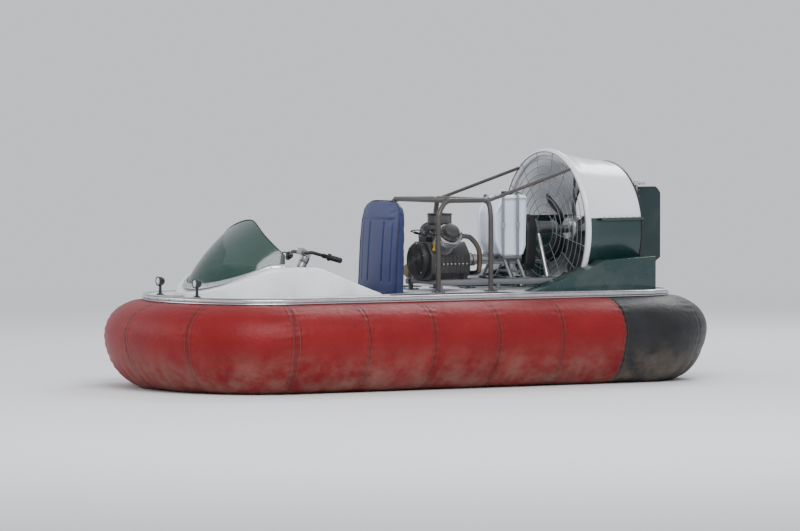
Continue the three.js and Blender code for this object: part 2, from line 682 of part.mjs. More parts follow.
function buildTank() {
  const outline = [
    [TANK.aft + 30, TANK.low], [TANK.fore - 60, TANK.low], [TANK.fore - 8, TANK.low + 90], [TANK.fore, 1090],
    [TANK.fore - 70, TANK.high], [TANK.aft, TANK.high], [TANK.aft + 6, TANK.low + 60],
  ];
  const tank = sideProfile(outline, -TANK.half, TANK.half);
  const relief = box(TANK.aft - 20, TANK.fore + 20, -40, 40, TANK.low - 20, TANK.low + 45);
  const cap = new THREE.CylinderGeometry(34, 34, 24, 16).rotateX(Math.PI / 2);
  cap.translate(-800, 0, TANK.high + 10);
  place('fuel_tank', joined([cut(tank, [relief]), cap]), 'tank');
  const tray = [];
  for (const y of [78, -78]) {
    tray.push(box(TANK.aft + 40, TANK.fore - 70, y - 30, y + 30, TANK.low - 14, TANK.low - GAP));
    const footY = Math.sign(y) * 176;
    for (const x of [-830, -730]) {
      tray.push(rod([x, footY, RAIL_Z + 24], [x, y, TANK.low - 10], 10));
      tray.push(box(x - 24, x + 24, footY - 24, footY + 24, RAIL_Z + RAIL_RADIUS + GAP, RAIL_Z + 28));
    }
  }
  tray.push(rod([-830, -149, 700], [-830, 149, 700], 9, 8));
  place('tank_tray', joined(tray), 'steel');
}

// Tube guard round the engine
const GUARD = { fore: -80, aft: -470, half: 350, top: 1170, radius: 16 };

function buildGuard() {
  const paths = [];
  for (const side of [1, -1]) {
    const y = side * GUARD.half;
    paths.push([
      [GUARD.fore, y, DECK + 6], [GUARD.fore, y, 1090], [GUARD.fore - 70, y * 0.92, GUARD.top],
      [GUARD.aft, y * 0.92, GUARD.top],
    ]);
    paths.push([[GUARD.aft, y * 0.92, GUARD.top], [GUARD.aft, y, 1090], [GUARD.aft, y, DECK + 6]]);
  }
  const across = [[GUARD.fore - 70, GUARD.top], [GUARD.aft, GUARD.top]];
  for (const [x, z] of across) paths.push([[x, -GUARD.half * 0.92, z], [x, GUARD.half * 0.92, z]]);
  const pieces = bentRods(paths, GUARD.radius, 6);
  for (const side of [1, -1]) {
    for (const x of [GUARD.fore, GUARD.aft]) {
      const y = side * GUARD.half;
      pieces.push(box(x - 32, x + 32, y - 32, y + 32, DECK + GAP, DECK + 8));
      const cornerX = x === GUARD.fore ? x - 70 : x;
      const corner = new THREE.SphereGeometry(GUARD.radius * 1.04, 6, 4);
      pieces.push(corner.translate(cornerX, y * 0.92, GUARD.top));
    }
    const lipY = side * 318;
    const stayFoot = [GUARD.aft, side * GUARD.half * 0.92, GUARD.top];
    pieces.push(rod(stayFoot, [DUCT_FRONT + 12.6, lipY, 1364], 11, 6));
  }
  place('engine_guard', joined(pieces), 'steel');
}

// Duct

function ductHalf(upper) {
  const ring = turnedAboutX(ductProfile([...ductOuter, ...ductInner, ductOuter[0]]), DUCT_Z, DUCT_SEGMENTS);
  const far = 2000;
  const lowerCut = box(-2 * far, far, -far, far, -far, DUCT_SPLIT_Z + GAP);
  const upperCut = box(-2 * far, far, -far, far, DUCT_SPLIT_Z, far);
  return cut(ring, [upper ? lowerCut : upperCut]);
}

function buildDuct() {
  place('duct_upper', ductHalf(true), 'gelcoat');
  const lower = toSolid(ductHalf(false));
  const band = [];
  for (const [back, radius] of ductOuter.slice(1)) band.push([back, radius + 22]);
  for (const [back, radius] of ductOuter.slice(1).reverse()) band.push([back, radius - 5]);
  const flangeRing = turnedAboutX(ductProfile([...band, band[0]]), DUCT_Z, DUCT_SEGMENTS);
  const flangeSlab = box(DUCT_REAR - 10, DUCT_FRONT, -700, 700, DUCT_SPLIT_Z - 18, DUCT_SPLIT_Z);
  const flanges = toSolid(flangeRing).intersect(toSolid(flangeSlab));
  place('duct_lower', toGeometry(lower.add(flanges).subtract(toSolid(liftDuctCutter()))), 'green');

  const lip = [
    [25.4, 487], [25.4, 521], [14, LIP_RADIUS], [2, 526], [-8, 508], [-2, 490], [12, 482], [25.4, 487],
  ];
  place('duct_lip', turnedAboutX(ductProfile(lip), DUCT_Z, DUCT_SEGMENTS), 'gelcoat');

  // Raised fairings each side of the duct's foot: rising outline, then plan outline, then the duct's seat.
  const rise = [
    [DUCT_REAR, DECK + GAP], [-660, DECK + GAP], [-1000, 700], [-1180, 780], [DUCT_REAR, 800],
  ];
  const rows = [['plinth_port', 1], ['plinth_starboard', -1]];
  for (const [name, side] of rows) {
    const plan = [
      [-1600, 150], [-1140, 150], [-1140, 430], [-640, 430], [-640, 560], [-1000, 600], [-1600, 600],
    ];
    const footprint = planProfile(plan.map(([x, y]) => [x, side * y]), DECK, 900);
    const fairing = toSolid(sideProfile(rise, -620, 620)).intersect(toSolid(footprint));
    place(name, toGeometry(fairing.subtract(toSolid(ductPlug(GAP)))), 'green');
  }

  const plateZ = 668;
  const chord = Math.sqrt((THROAT_RADIUS - 1.4) ** 2 - (DUCT_Z - plateZ) ** 2);
  place('splitter_plate', box(DUCT_REAR, -1400, -chord, chord, plateZ, plateZ + 6), 'alloy');
}

// Wire guard over the intake
function buildIntakeGuard() {
  const wireRadius = 4;
  const lipFront = DUCT_FRONT + 8;
  const x = lipFront + wireRadius + GAP;
  const pieces = [];
  for (const radius of [110, 210, 310, 410]) {
    const square = [[-3, -3], [-3, 3], [3, 3], [3, -3], [-3, -3]];
    pieces.push(turnedAboutX(square.map(([along, out]) => [x + along, radius + out]), DUCT_Z, 24));
  }
  for (let i = 0; i < 8; i += 1) {
    const angle = Math.PI * (i + 0.5) / 4;
    const at = (radius) => [x, radius * Math.cos(angle), DUCT_Z + radius * Math.sin(angle)];
    pieces.push(rod(at(106), at(512), wireRadius, 4));
  }
  place('intake_guard', joined(pieces), 'steel');
}

// Fan: a hub with pitched blades, turning about the duct's axis
function buildFan() {
  const bladeCount = 6;
  const hubProfile = [
    [FAN_X - 62, 0], [FAN_X - 62, 66], [FAN_X - 40, 88], [FAN_X + 40, 88], [FAN_X + 62, 70],
    [FAN_X + 62, 26], [SHAFT_END - GAP, 26], [SHAFT_END - GAP, 0],
  ];
  const hub = turnedAboutX(hubProfile, 0, 16);
  const blades = [];
  // rows: radius, chord, pitch in degrees, thickness
  const rows = [[60, 120, 48, 18], [180, 118, 36, 13], [290, 100, 27, 9], [FAN_RADIUS, 82, 21, 6]];
  for (let i = 0; i < bladeCount; i += 1) {
    const loops = rows.map(([radius, chord, pitch, thick]) => {
      const angle = THREE.MathUtils.degToRad(pitch);
      const section = [[-0.5, 0], [-0.1, 0.5], [0.3, 0.42], [0.5, 0], [0.3, -0.3], [-0.1, -0.35]];
      const [sin, cos] = [Math.sin(angle), Math.cos(angle)];
      return section.map(([u, v]) => {
        const along = u * chord;
        const off = v * thick;
        return [along * sin + off * cos, along * cos - off * sin, radius];
      });
    });
    blades.push(loft(loops).rotateX(2 * Math.PI * i / bladeCount).translate(FAN_X, 0, 0));
  }
  const mesh = place('fan_rotor', joined([hub, ...blades]), 'black');
  mesh.position.set(0, 0, DUCT_Z);
}

// Rudders hang between two beams behind the duct

function buildRudders() {
  const beamRows = [['rudder_beam_top', RUDDER_HIGH + 12, 1], ['rudder_beam_bottom', RUDDER_LOW - 30, -1]];
  for (const [name, z] of beamRows) {
    const half = 330;
    const beam = box(RUDDER_X - 22, RUDDER_X + 22, -half, half, z, z + 18);
    const armEnd = DUCT_REAR - GAP;
    const arms = [300, -300].map((y) => box(armEnd - 48, armEnd, y - 22, y + 22, z, z + 18));
    place(name, joined([beam, ...arms]), 'alloy');
  }
  const names = ['rudder_port', 'rudder_centre', 'rudder_starboard'];
  names.forEach((name, i) => {
    const y = RUDDER_YS[i];
    const outline = [
      [60, RUDDER_LOW + 60], [60, RUDDER_HIGH], [-150, RUDDER_HIGH], [-190, RUDDER_HIGH - 40],
      [-190, RUDDER_LOW + 90], [-60, RUDDER_LOW],
    ];
    const blade = sideProfile(outline, -7, 7);
    const stock = rod([0, 0, RUDDER_LOW - 11.5], [0, 0, RUDDER_HIGH + 11.5], 11, 12);
    const horn = box(-HORN.reach - 11, 0, -9, 9, RUDDER_LOW - HORN.drop, RUDDER_LOW + 2);
    const mesh = place(name, joined([blade, stock, horn]), 'black');
    mesh.position.set(RUDDER_X, y, 0);
  });
  const barTop = RUDDER_LOW - HORN.drop - GAP;
  const barX = RUDDER_X - HORN.reach;
  const bar = box(barX - 11, barX + 11, RUDDER_YS[2] - 14, RUDDER_YS[0] + 14, barTop - 6, barTop);
  place('rudder_tie_bar', bar, 'alloy');
}

buildHull();
buildSkirt();
buildPads();
buildSkids();
buildCowl();
buildScreen();
buildSeat();
buildSteering();
buildEngine();
buildDrive();
buildTank();
buildGuard();
buildDuct();
buildIntakeGuard();
buildFan();
buildRudders();

export default shell;
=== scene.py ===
# %% [markdown]
# # A light hovercraft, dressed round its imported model
#
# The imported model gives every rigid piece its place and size. This lesson puts a finish on each of them
# and replaces the plain solids, such as the skirt and the seat, by modelled surfaces. Lengths are metres,
# +X points to the bow, +Y to port and +Z up.

# %% Load the frame
import math

import bmesh
import bpy
import numpy as np
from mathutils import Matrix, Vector


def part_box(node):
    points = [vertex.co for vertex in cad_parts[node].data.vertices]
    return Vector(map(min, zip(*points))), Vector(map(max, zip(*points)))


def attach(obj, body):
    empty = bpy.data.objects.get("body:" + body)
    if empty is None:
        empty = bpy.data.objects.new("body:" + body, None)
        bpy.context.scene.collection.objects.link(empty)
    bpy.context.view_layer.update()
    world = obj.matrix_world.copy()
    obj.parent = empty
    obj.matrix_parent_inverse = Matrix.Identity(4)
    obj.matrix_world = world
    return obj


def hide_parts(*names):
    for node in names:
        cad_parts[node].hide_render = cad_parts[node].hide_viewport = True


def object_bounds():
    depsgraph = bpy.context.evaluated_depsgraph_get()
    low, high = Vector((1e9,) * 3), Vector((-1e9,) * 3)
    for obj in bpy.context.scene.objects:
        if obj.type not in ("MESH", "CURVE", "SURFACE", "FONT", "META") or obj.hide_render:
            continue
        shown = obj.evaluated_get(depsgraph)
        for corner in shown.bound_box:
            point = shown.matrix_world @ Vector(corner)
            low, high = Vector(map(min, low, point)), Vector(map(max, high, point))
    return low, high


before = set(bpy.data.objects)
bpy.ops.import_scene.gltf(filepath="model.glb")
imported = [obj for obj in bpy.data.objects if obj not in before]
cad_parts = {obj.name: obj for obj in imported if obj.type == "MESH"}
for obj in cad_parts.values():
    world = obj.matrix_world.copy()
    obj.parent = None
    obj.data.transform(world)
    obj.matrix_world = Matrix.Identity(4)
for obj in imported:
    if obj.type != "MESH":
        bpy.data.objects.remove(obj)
CAD_BOX = [list(corner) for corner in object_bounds()]
LOW, HIGH = np.array(CAD_BOX)
MIDDLE = (LOW + HIGH) / 2
print("craft measures", np.round(HIGH - LOW, 3))

# %% [markdown]
# ## Camera
#
# The craft was seen from far off its port bow, from about the height of the fan duct's top. A long lens
# keeps the near and far sides almost parallel, as a telephoto view does.

# %% Camera
AZIMUTH = math.radians(150)
ELEVATION = math.radians(2)
DISTANCE = 30.0
SENSOR = 36.0
FILL = 0.86            # share of the picture's width that the craft takes
away = Vector((math.sin(AZIMUTH) * math.cos(ELEVATION), -math.cos(AZIMUTH) * math.cos(ELEVATION),
               math.sin(ELEVATION)))
seen_width = (HIGH - LOW)[0] * abs(math.cos(AZIMUTH)) + (HIGH - LOW)[1] * abs(math.sin(AZIMUTH))

camera_data = bpy.data.cameras.new("camera")
camera_data.sensor_width = SENSOR
camera_data.lens = SENSOR * DISTANCE * FILL / seen_width
camera = bpy.data.objects.new("camera", camera_data)
bpy.context.scene.collection.objects.link(camera)
target = Vector(MIDDLE)
camera.location = target + away * DISTANCE
camera.rotation_euler = (target - camera.location).to_track_quat("-Z", "Y").to_euler()
bpy.context.scene.camera = camera
print("lens", round(camera_data.lens, 1), "mm")

# %% [markdown]
# ## Shader maths
#
# A finish is a tree of nodes, and a tree is easiest to read as arithmetic. `Num` wraps a number socket:
# adding, subtracting or multiplying it adds the Math node. `Finish` holds one material, and its `node`
# method adds any other node from its type, its settings and what feeds its sockets.


# %% Numbers and finishes
class Num:
    """A number socket of a finish. Arithmetic on it adds Math nodes."""

    def __init__(self, finish, socket):
        self.finish = finish
        self.socket = socket

    def math(self, operation, *values):
        made = self.finish.node("ShaderNodeMath", {"operation": operation}, dict(enumerate(values)))
        return Num(self.finish, made.outputs[0])

    def __add__(self, other):
        return self.math("ADD", self, other)

    def __sub__(self, other):
        return self.math("SUBTRACT", self, other)

    def __rsub__(self, other):
        return self.math("SUBTRACT", other, self)

    def __mul__(self, other):
        return self.math("MULTIPLY", self, other)

    def __truediv__(self, other):
        return self.math("DIVIDE", self, other)

    __radd__ = __add__
    __rmul__ = __mul__

    def power(self, exponent):
        return self.math("POWER", self, exponent)

    def sine(self):
        return self.math("SINE", self)

    def size(self):
        return self.math("ABSOLUTE", self)

    def wrap(self, period):
        """Folds the number into 0 to period, as the clock does with hours."""
        return self.math("WRAP", self, period, 0.0)

    def step(self, low, high):
        """0 below low, 1 above high, with a smooth turn between them."""
        made = self.finish.node("ShaderNodeMapRange", {"interpolation_type": "SMOOTHSTEP"},
                                {"Value": self, "From Min": low, "From Max": high})
        return Num(self.finish, made.outputs[0])


class Finish:
    """One material while it is being made."""

    def __init__(self, name):
        self.material = bpy.data.materials.new(name)
        self.material.use_nodes = True
        self.tree = self.material.node_tree
        self.tree.nodes.clear()
        self.coordinates = self.node("ShaderNodeTexCoord")
        self.place = self.coordinates.outputs["Object"]

    def node(self, kind, settings=None, sockets=None):
        made = self.tree.nodes.new(kind)
        for name, value in (settings or {}).items():
            setattr(made, name, value)
        for name, value in (sockets or {}).items():
            self.feed(made.inputs[name], value)
        return made

    def feed(self, socket, value):
        source = getattr(value, "socket", value)
        if isinstance(source, bpy.types.NodeSocket):
            self.tree.links.new(source, socket)
        else:
            socket.default_value = value

    def axis(self, letter, vector=None):
        parts = self.node("ShaderNodeSeparateXYZ", None, {0: self.place if vector is None else vector})
        return Num(self, parts.outputs[letter])

    def uv(self, letter):
        return self.axis(letter, self.coordinates.outputs["UV"])

    def stretched(self, scale):
        return self.node("ShaderNodeMapping", None, {"Vector": self.place, "Scale": scale}).outputs[0]

    def noise(self, scale, detail=3.0, roughness=0.5, vector=None):
        """Cloudy noise, 0 to 1, with scale patches to the metre."""
        made = self.node("ShaderNodeTexNoise", None, {
            "Vector": self.place if vector is None else vector, "Scale": scale,
            "Detail": detail, "Roughness": roughness})
        return Num(self, made.outputs[0])

    def cells(self, scale):
        """Distance within a smooth pattern of random cells, scale cells to the metre."""
        made = self.node("ShaderNodeTexVoronoi", {"feature": "SMOOTH_F1"},
                         {"Vector": self.place, "Scale": scale})
        return Num(self, made.outputs["Distance"])

    def mix(self, mask, first, second):
        """The first colour where the mask is 0, the second where it is 1."""
        made = self.node("ShaderNodeMix", {"data_type": "RGBA"}, {0: mask, 6: first, 7: second})
        return made.outputs[2]

    def bump(self, height, distance):
        return self.node("ShaderNodeBump", None, {"Height": height, "Distance": distance}).outputs[0]

    def shade(self, sockets):
        """Ends the tree in a Principled shader with these sockets."""
        shader = self.node("ShaderNodeBsdfPrincipled", None, sockets)
        out = self.node("ShaderNodeOutputMaterial")
        self.tree.links.new(shader.outputs[0], out.inputs[0])
        return self.material


def tone(red, green, blue):
    """A colour as the eye reads it, 0 to 255, turned into light amounts."""
    share = np.array([red, green, blue]) / 255
    light = np.where(share <= 0.04045, share / 12.92, ((share + 0.055) / 1.055) ** 2.4)
    return (*light.tolist(), 1.0)


# %% [markdown]
# ## Paint, gel-coat and plastic
#
# A fibreglass craft has a polished gel-coat with faint waves, dull patches where it is rubbed, and a grey
# film low down and in corners. One function makes each colour of it.


# %% Gel-coat and moulded plastics
FILM = tone(112, 108, 98)


def gelcoat(name, colour, worn, gloss=0.22):
    """Polished gel-coat: large soft colour drift, fine scuffs, film that gathers on low parts."""
    f = Finish(name)
    drift = f.noise(1.7, 4.0)
    scuffs = f.noise(38.0, 6.0, 0.65, f.stretched((0.25, 1.0, 1.0))).step(0.58, 0.78)
    film = f.noise(5.0, 5.0, 0.6).step(0.42, 0.75) * (1 - f.axis("Z").step(0.52, 0.95))
    base = f.mix(drift * 0.35, colour, worn)
    base = f.mix(film * 0.26 + scuffs * 0.08, base, FILM)
    ripple = f.noise(9.0, 2.0) * 0.6 + f.noise(420.0, 1.0) * 0.02
    return f.shade({"Base Color": base, "Roughness": scuffs * 0.25 + film * 0.2 + gloss,
                    "Normal": f.bump(ripple, 0.0012), "Coat Weight": 0.35, "Coat Roughness": 0.08,
                    "Specular IOR Level": 0.5})


def plastic(name, colour, worn, grain=900.0, dull=0.5):
    """Moulded plastic with a fine leathery grain and pale rubbed patches."""
    f = Finish(name)
    rubbed = f.noise(14.0, 5.0, 0.6).step(0.55, 0.8)
    height = f.cells(grain) * 0.6 + f.noise(grain * 0.3, 3.0) * 0.4
    return f.shade({"Base Color": f.mix(rubbed * 0.5, colour, worn), "Roughness": rubbed * 0.15 + dull,
                    "Normal": f.bump(height, 0.0004), "Specular IOR Level": 0.45})


white_gelcoat = gelcoat("white_gelcoat", tone(232, 234, 238), tone(206, 208, 208))
hull_gelcoat = gelcoat("hull_gelcoat", tone(208, 210, 212), tone(184, 185, 182), 0.32)
green_gelcoat = gelcoat("green_gelcoat", tone(10, 42, 43), tone(20, 54, 53), 0.26)
black_plastic = plastic("black_plastic", tone(30, 31, 33), tone(66, 66, 66))
tank_plastic = plastic("tank_plastic", tone(222, 228, 240), tone(196, 203, 214), 500.0, 0.38)
print("gel-coats and plastics ready")

# %% [markdown]
# ## Metal and rubber
#
# Bare alloy is drawn or machined, so its shine runs in streaks. Steel tube is coated, and the coat is
# chipped and rusty where tools and boots reach it. The engine's castings are dark and oily.


# %% Metals and rubber
RUST = tone(96, 52, 30)
DIAMOND = 0.011            # from one raised diamond of the step pads to the next


def bare_alloy(name, colour, streak_scale):
    """Drawn alloy: streaks along the piece, a dull oxide bloom and small pits."""
    f = Finish(name)
    streaks = f.noise(60.0, 4.0, 0.7, f.stretched(streak_scale))
    bloom = f.noise(7.0, 5.0, 0.6).step(0.45, 0.75)
    base = f.mix(bloom * 0.55, colour, tone(128, 129, 128))
    return f.shade({"Base Color": base, "Metallic": 1 - bloom * 0.35,
                    "Roughness": streaks * 0.22 + bloom * 0.2 + 0.2,
                    "Normal": f.bump(streaks + f.noise(500.0, 2.0) * 0.3, 0.0003)})


def coated_steel(name, colour, chipped, amount):
    """Powder-coated steel: orange-peel skin with chips of rust in a few places."""
    f = Finish(name)
    patches = f.noise(5.0, 2.0).step(0.4, 0.6)
    chips = f.noise(46.0, 6.0, 0.7).step(1.0 - amount, 1.02 - amount * 0.9) * patches
    dust = f.noise(11.0, 4.0).step(0.45, 0.8)
    base = f.mix(chips, f.mix(dust * 0.22, colour, chipped), RUST)
    return f.shade({"Base Color": base, "Metallic": 0.0, "Roughness": chips * 0.35 + dust * 0.12 + 0.36,
                    "Normal": f.bump(f.noise(330.0, 2.0) * 0.35 - chips, 0.0005), "Specular IOR Level": 0.5})


def ribbed_rubber(name, pitch):
    """Mat rubber with ribs along X, a pitch apart."""
    f = Finish(name)
    ribs = (f.axis("Y") * (2 * math.pi / pitch)).sine()
    dust = f.noise(8.0, 5.0).step(0.4, 0.8)
    return f.shade({"Base Color": f.mix(dust * 0.4, tone(28, 28, 28), tone(92, 88, 80)),
                    "Roughness": dust * 0.1 + 0.8,
                    "Normal": f.bump(ribs * 0.5 + f.noise(700.0, 2.0) * 0.2, 0.0015)})


def grip_rubber(name):
    """Moulded step pad: small raised diamonds in rows, grey with trodden dust."""
    f = Finish(name)
    waves = 2 * math.pi / DIAMOND
    across = (f.axis("X") + f.axis("Y")) * waves
    along = (f.axis("X") - f.axis("Y")) * waves
    diamonds = (across.sine() * along.sine()).step(0.15, 0.45)
    dust = f.noise(9.0, 5.0, 0.6).step(0.38, 0.8)
    return f.shade({"Base Color": f.mix(dust * 0.45, tone(34, 35, 37), tone(98, 95, 88)),
                    "Roughness": dust * 0.08 + 0.78,
                    "Normal": f.bump(diamonds + f.noise(600.0, 2.0) * 0.2, 0.0016)})


def heated_steel(name):
    """Exhaust steel: straw and blue heat colours near the engine, rust specks, dull."""
    f = Finish(name)
    heat = f.noise(6.0, 3.0)
    base = f.mix(heat.step(0.3, 0.7), tone(122, 108, 88), tone(92, 92, 104))
    rust = f.noise(34.0, 6.0, 0.7).step(0.52, 0.72)
    return f.shade({"Base Color": f.mix(rust * 0.7, base, RUST), "Metallic": 1 - rust * 0.7,
                    "Roughness": rust * 0.35 + 0.42,
                    "Normal": f.bump(rust * 0.4 + f.noise(300.0, 2.0) * 0.2, 0.0005)})


rail_alloy = bare_alloy("rail_alloy", tone(196, 198, 201), (0.05, 1.0, 1.0))
cast_alloy = bare_alloy("cast_alloy", tone(168, 169, 170), (1.0, 1.0, 1.0))
grey_steel = coated_steel("grey_steel", tone(104, 107, 112), tone(134, 132, 128), 0.30)
black_steel = coated_steel("black_steel", tone(34, 35, 37), tone(82, 79, 74), 0.28)
rudder_paint = coated_steel("rudder_paint", tone(15, 40, 41), tone(58, 68, 66), 0.24)
engine_metal = coated_steel("engine_metal", tone(52, 51, 51), tone(94, 86, 76), 0.33)
bolt_metal = bare_alloy("bolt_metal", tone(178, 180, 184), (1.0, 1.0, 1.0))
floor_rubber = ribbed_rubber("floor_rubber", 0.012)
grip_pad = grip_rubber("grip_pad")
exhaust_metal = heated_steel("exhaust_metal")
guard_steel = coated_steel("guard_steel", tone(66, 62, 60), tone(104, 94, 84), 0.31)
dipstick_yellow = plastic("dipstick_plastic", tone(196, 160, 40), tone(150, 128, 60), 900.0, 0.4)
strap_webbing = plastic("strap_webbing", tone(128, 133, 144), tone(104, 106, 112), 1400.0, 0.8)
print("metals and rubber ready")

# %% [markdown]
# ## Points and faces
#
# Each shape below is a function of two parameters on a grid, worked out as whole arrays. `Form` carries
# the points and faces until `put` turns one or more of them into a piece, gives it its finish and tells
# the frame which body carries it.


# %% Forms
class Form:
    """Points, faces and optional UV pairs on their way to a mesh."""

    def __init__(self, points, faces, uv=None):
        self.points = np.asarray(points, dtype=float).reshape(-1, 3)
        self.faces = faces
        self.uv = uv


def grid_faces(rows, columns, close_rows=False, close_columns=False, start=0):
    """Quads over a grid of points stored row by row, closed in either direction if asked."""
    r = np.arange(rows if close_rows else rows - 1)
    c = np.arange(columns if close_columns else columns - 1)
    i, j = (part.ravel() for part in np.meshgrid(r, c, indexing="ij"))
    near, far = i * columns, (i + 1) % rows * columns
    after = (j + 1) % columns
    return (np.stack([near + j, far + j, far + after, near + after], axis=1) + start).tolist()


def surface(grid, close_rows=False, close_columns=False, uv=None):
    """A skin over a grid of points of shape rows, columns, 3."""
    rows, columns, _ = grid.shape
    return Form(grid, grid_faces(rows, columns, close_rows, close_columns), uv)


def closed_rows(grid, uv=None):
    """Loops of points, skinned side by side, with a flat face over the first and the last loop."""
    rows, columns, _ = grid.shape
    faces = grid_faces(rows, columns, False, True)
    faces.append(list(range(columns)))
    faces.append(list(range((rows - 1) * columns, rows * columns))[::-1])
    return Form(grid, faces, uv)


def walled(outer, inner):
    """Two equal open grids, skinned back to back and joined round their rims, as a wall with a thickness."""
    rows, columns, _ = outer.shape
    count = rows * columns
    faces = grid_faces(rows, columns)
    faces += [face[::-1] for face in grid_faces(rows, columns, start=count)]
    index = np.arange(count).reshape(rows, columns)
    rim = np.concatenate([index[0, :-1], index[:-1, -1], index[-1, :0:-1], index[:0:-1, 0]])
    turn = np.roll(rim, -1)
    faces += np.stack([turn, rim, rim + count, turn + count], axis=1).tolist()
    return Form(np.concatenate([outer.reshape(-1, 3), inner.reshape(-1, 3)]), faces)


def fused(forms):
    """Several forms as one."""
    points, faces, start = [], [], 0
    for form in forms:
        points.append(form.points)
        faces += [[index + start for index in face] for face in form.faces]
        start += len(form.points)
    return Form(np.concatenate(points), faces)


def put(name, layers, body="hull", replaces=(), crease_deg=38.0, bevel=0.0, segments=2):
    """Makes a piece from (form, material) layers: merges doubles, turns faces outwards, rides on a body."""
    whole = fused([form for form, _ in layers])
    mesh = bpy.data.meshes.new(name)
    mesh.from_pydata(whole.points.tolist(), [], whole.faces)
    owners = []
    for index, (form, material) in enumerate(layers):
        mesh.materials.append(material)
        owners += [index] * len(form.faces)
    mesh.polygons.foreach_set("material_index", owners)
    uv = layers[0][0].uv
    if uv is not None:
        corners = np.empty(len(mesh.loops), dtype=np.int32)
        mesh.loops.foreach_get("vertex_index", corners)
        mesh.uv_layers.new(name="surface").data.foreach_set("uv", uv.reshape(-1, 2)[corners].ravel())
    shell = bmesh.new()
    shell.from_mesh(mesh)
    bmesh.ops.remove_doubles(shell, verts=shell.verts, dist=1e-6)
    bmesh.ops.recalc_face_normals(shell, faces=shell.faces)
    if bevel:
        sharp = [edge for edge in shell.edges if len(edge.link_faces) == 2
                 and edge.calc_face_angle() > math.radians(crease_deg)]
        bmesh.ops.bevel(shell, geom=sharp, offset=bevel, segments=segments, profile=0.5, affect="EDGES",
                        clamp_overlap=True)
    shell.to_mesh(mesh)
    shell.free()
    mesh.shade_smooth()
    mesh.set_sharp_from_angle(angle=math.radians(crease_deg))
    piece = bpy.data.objects.new(name, mesh)
    bpy.context.scene.collection.objects.link(piece)
    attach(piece, body)
    if replaces:
        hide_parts(*replaces)
    return piece


# %% [markdown]
# ## Turned, bent and bolted shapes
#
# A few shapes come up all over the craft: a profile turned about a line, a tube bent along a path, a plate
# and bolt heads in rows.


# %% Turned, bent and bolted shapes
UP, FORE = np.array([0.0, 0.0, 1.0]), np.array([1.0, 0.0, 0.0])
BOTH_SIDES = (1, -1)                           # port and starboard, or outwards and inwards
HAIR = 0.0004                                  # keeps the faces of two touching pieces from flickering
QUARTER = math.pi / 2


def around(count):
    """Angles evenly spaced round a full turn."""
    return np.linspace(0, 2 * math.pi, count, endpoint=False)


def quarter_circle(start, level, across, down, steps):
    """Pairs along a quarter circle that begins upright at start, and ends flat at level."""
    return [(start + across * (1 - math.cos(a)), level - down * (1 - math.sin(a)))
            for a in np.linspace(0, QUARTER, steps)]


def unit(vectors):
    """The same directions, each brought to length 1."""
    vectors = np.asarray(vectors, dtype=float)
    return vectors / np.linalg.norm(vectors, axis=-1, keepdims=True)


def frame_of(direction):
    """Three square directions, the first along the one given."""
    along = unit(direction)
    side = unit(np.cross(UP if abs(along[2]) < 0.9 else FORE, along))
    return along, side, np.cross(along, side)


def turned(profile, centre, axis=FORE, segments=96, closed=False):
    """Turns (distance along the axis, radius) pairs about an axis through centre."""
    profile = np.asarray(profile, dtype=float)
    along, side, up = frame_of(axis)
    angle = around(segments)[None, :, None]
    reach, radius = profile[:, 0][:, None, None], profile[:, 1][:, None, None]
    grid = np.asarray(centre) + along * reach + radius * (side * np.cos(angle) + up * np.sin(angle))
    return surface(grid, True, True) if closed else closed_rows(grid)


def through(points, steps):
    """A smooth curve through the points, by a cubic between each pair of neighbours."""
    p = np.asarray(points, dtype=float)
    p = np.concatenate([2 * p[:1] - p[1:2], p, 2 * p[-1:] - p[-2:-1]])
    t = np.linspace(0, 1, steps, endpoint=False)[None, :, None]
    a, b, c, d = (p[i:len(p) - 3 + i][:, None, :] for i in range(4))
    curve = 0.5 * (2 * b + (c - a) * t + (2 * a - 5 * b + 4 * c - d) * t ** 2
                   + (3 * b - a - 3 * c + d) * t ** 3)
    return np.concatenate([curve.reshape(-1, p.shape[1]), p[-2:-1]])


def rounded_path(points, radius, steps=6):
    """A path of straight runs whose corners are rounded by a curve that starts radius before each corner."""
    p = np.asarray(points, dtype=float)
    path = [p[:1]]
    for before, corner, after in zip(p[:-2], p[1:-1], p[2:]):
        a = corner + unit(before - corner) * radius
        b = corner + unit(after - corner) * radius
        t = np.linspace(0, 1, steps)[:, None]
        path.append((1 - t) ** 2 * a + 2 * t * (1 - t) * corner + t ** 2 * b)
    path.append(p[-1:])
    return np.concatenate(path)


def pipe(path, radius, sides=16, ring=False):
    """A round tube along a path. Its section is carried from point to point without twisting."""
    path = np.asarray(path, dtype=float)
    radius = np.broadcast_to(radius, len(path))
    ahead = np.roll(path, -1, axis=0) - np.roll(path, 1, axis=0) if ring else np.gradient(path, axis=0)
    heading = unit(ahead)
    side = frame_of(heading[0])[1]
    sides_along = []
    for direction in heading:
        side = unit(side - direction * side.dot(direction))
        sides_along.append(side)
    side = np.array(sides_along)[:, None, :]
    up = np.cross(heading[:, None, :], side)
    angle = around(sides)[None, :, None]
    grid = path[:, None, :] + radius[:, None, None] * (side * np.cos(angle) + up * np.sin(angle))
    return surface(grid, True, True) if ring else closed_rows(grid)


def prism(outline, low, high, axis="Z"):
    """A flat outline carried straight from low to high along an axis."""
    levels = [np.insert(np.asarray(outline, dtype=float), "XYZ".index(axis), level, axis=1)
              for level in (low, high)]
    return closed_rows(np.stack(levels))


def block(low, high):
    """A box from its lowest to its highest corner."""
    (x0, y0, z0), (x1, y1, z1) = low, high
    return prism([(x0, y0), (x1, y0), (x1, y1), (x0, y1)], z0, z1)


def ring_of(middle, radius, angles):
    """Places round a circle that faces along X."""
    x, y, z = middle
    return [(x, y + radius * math.cos(a), z + radius * math.sin(a)) for a in angles]


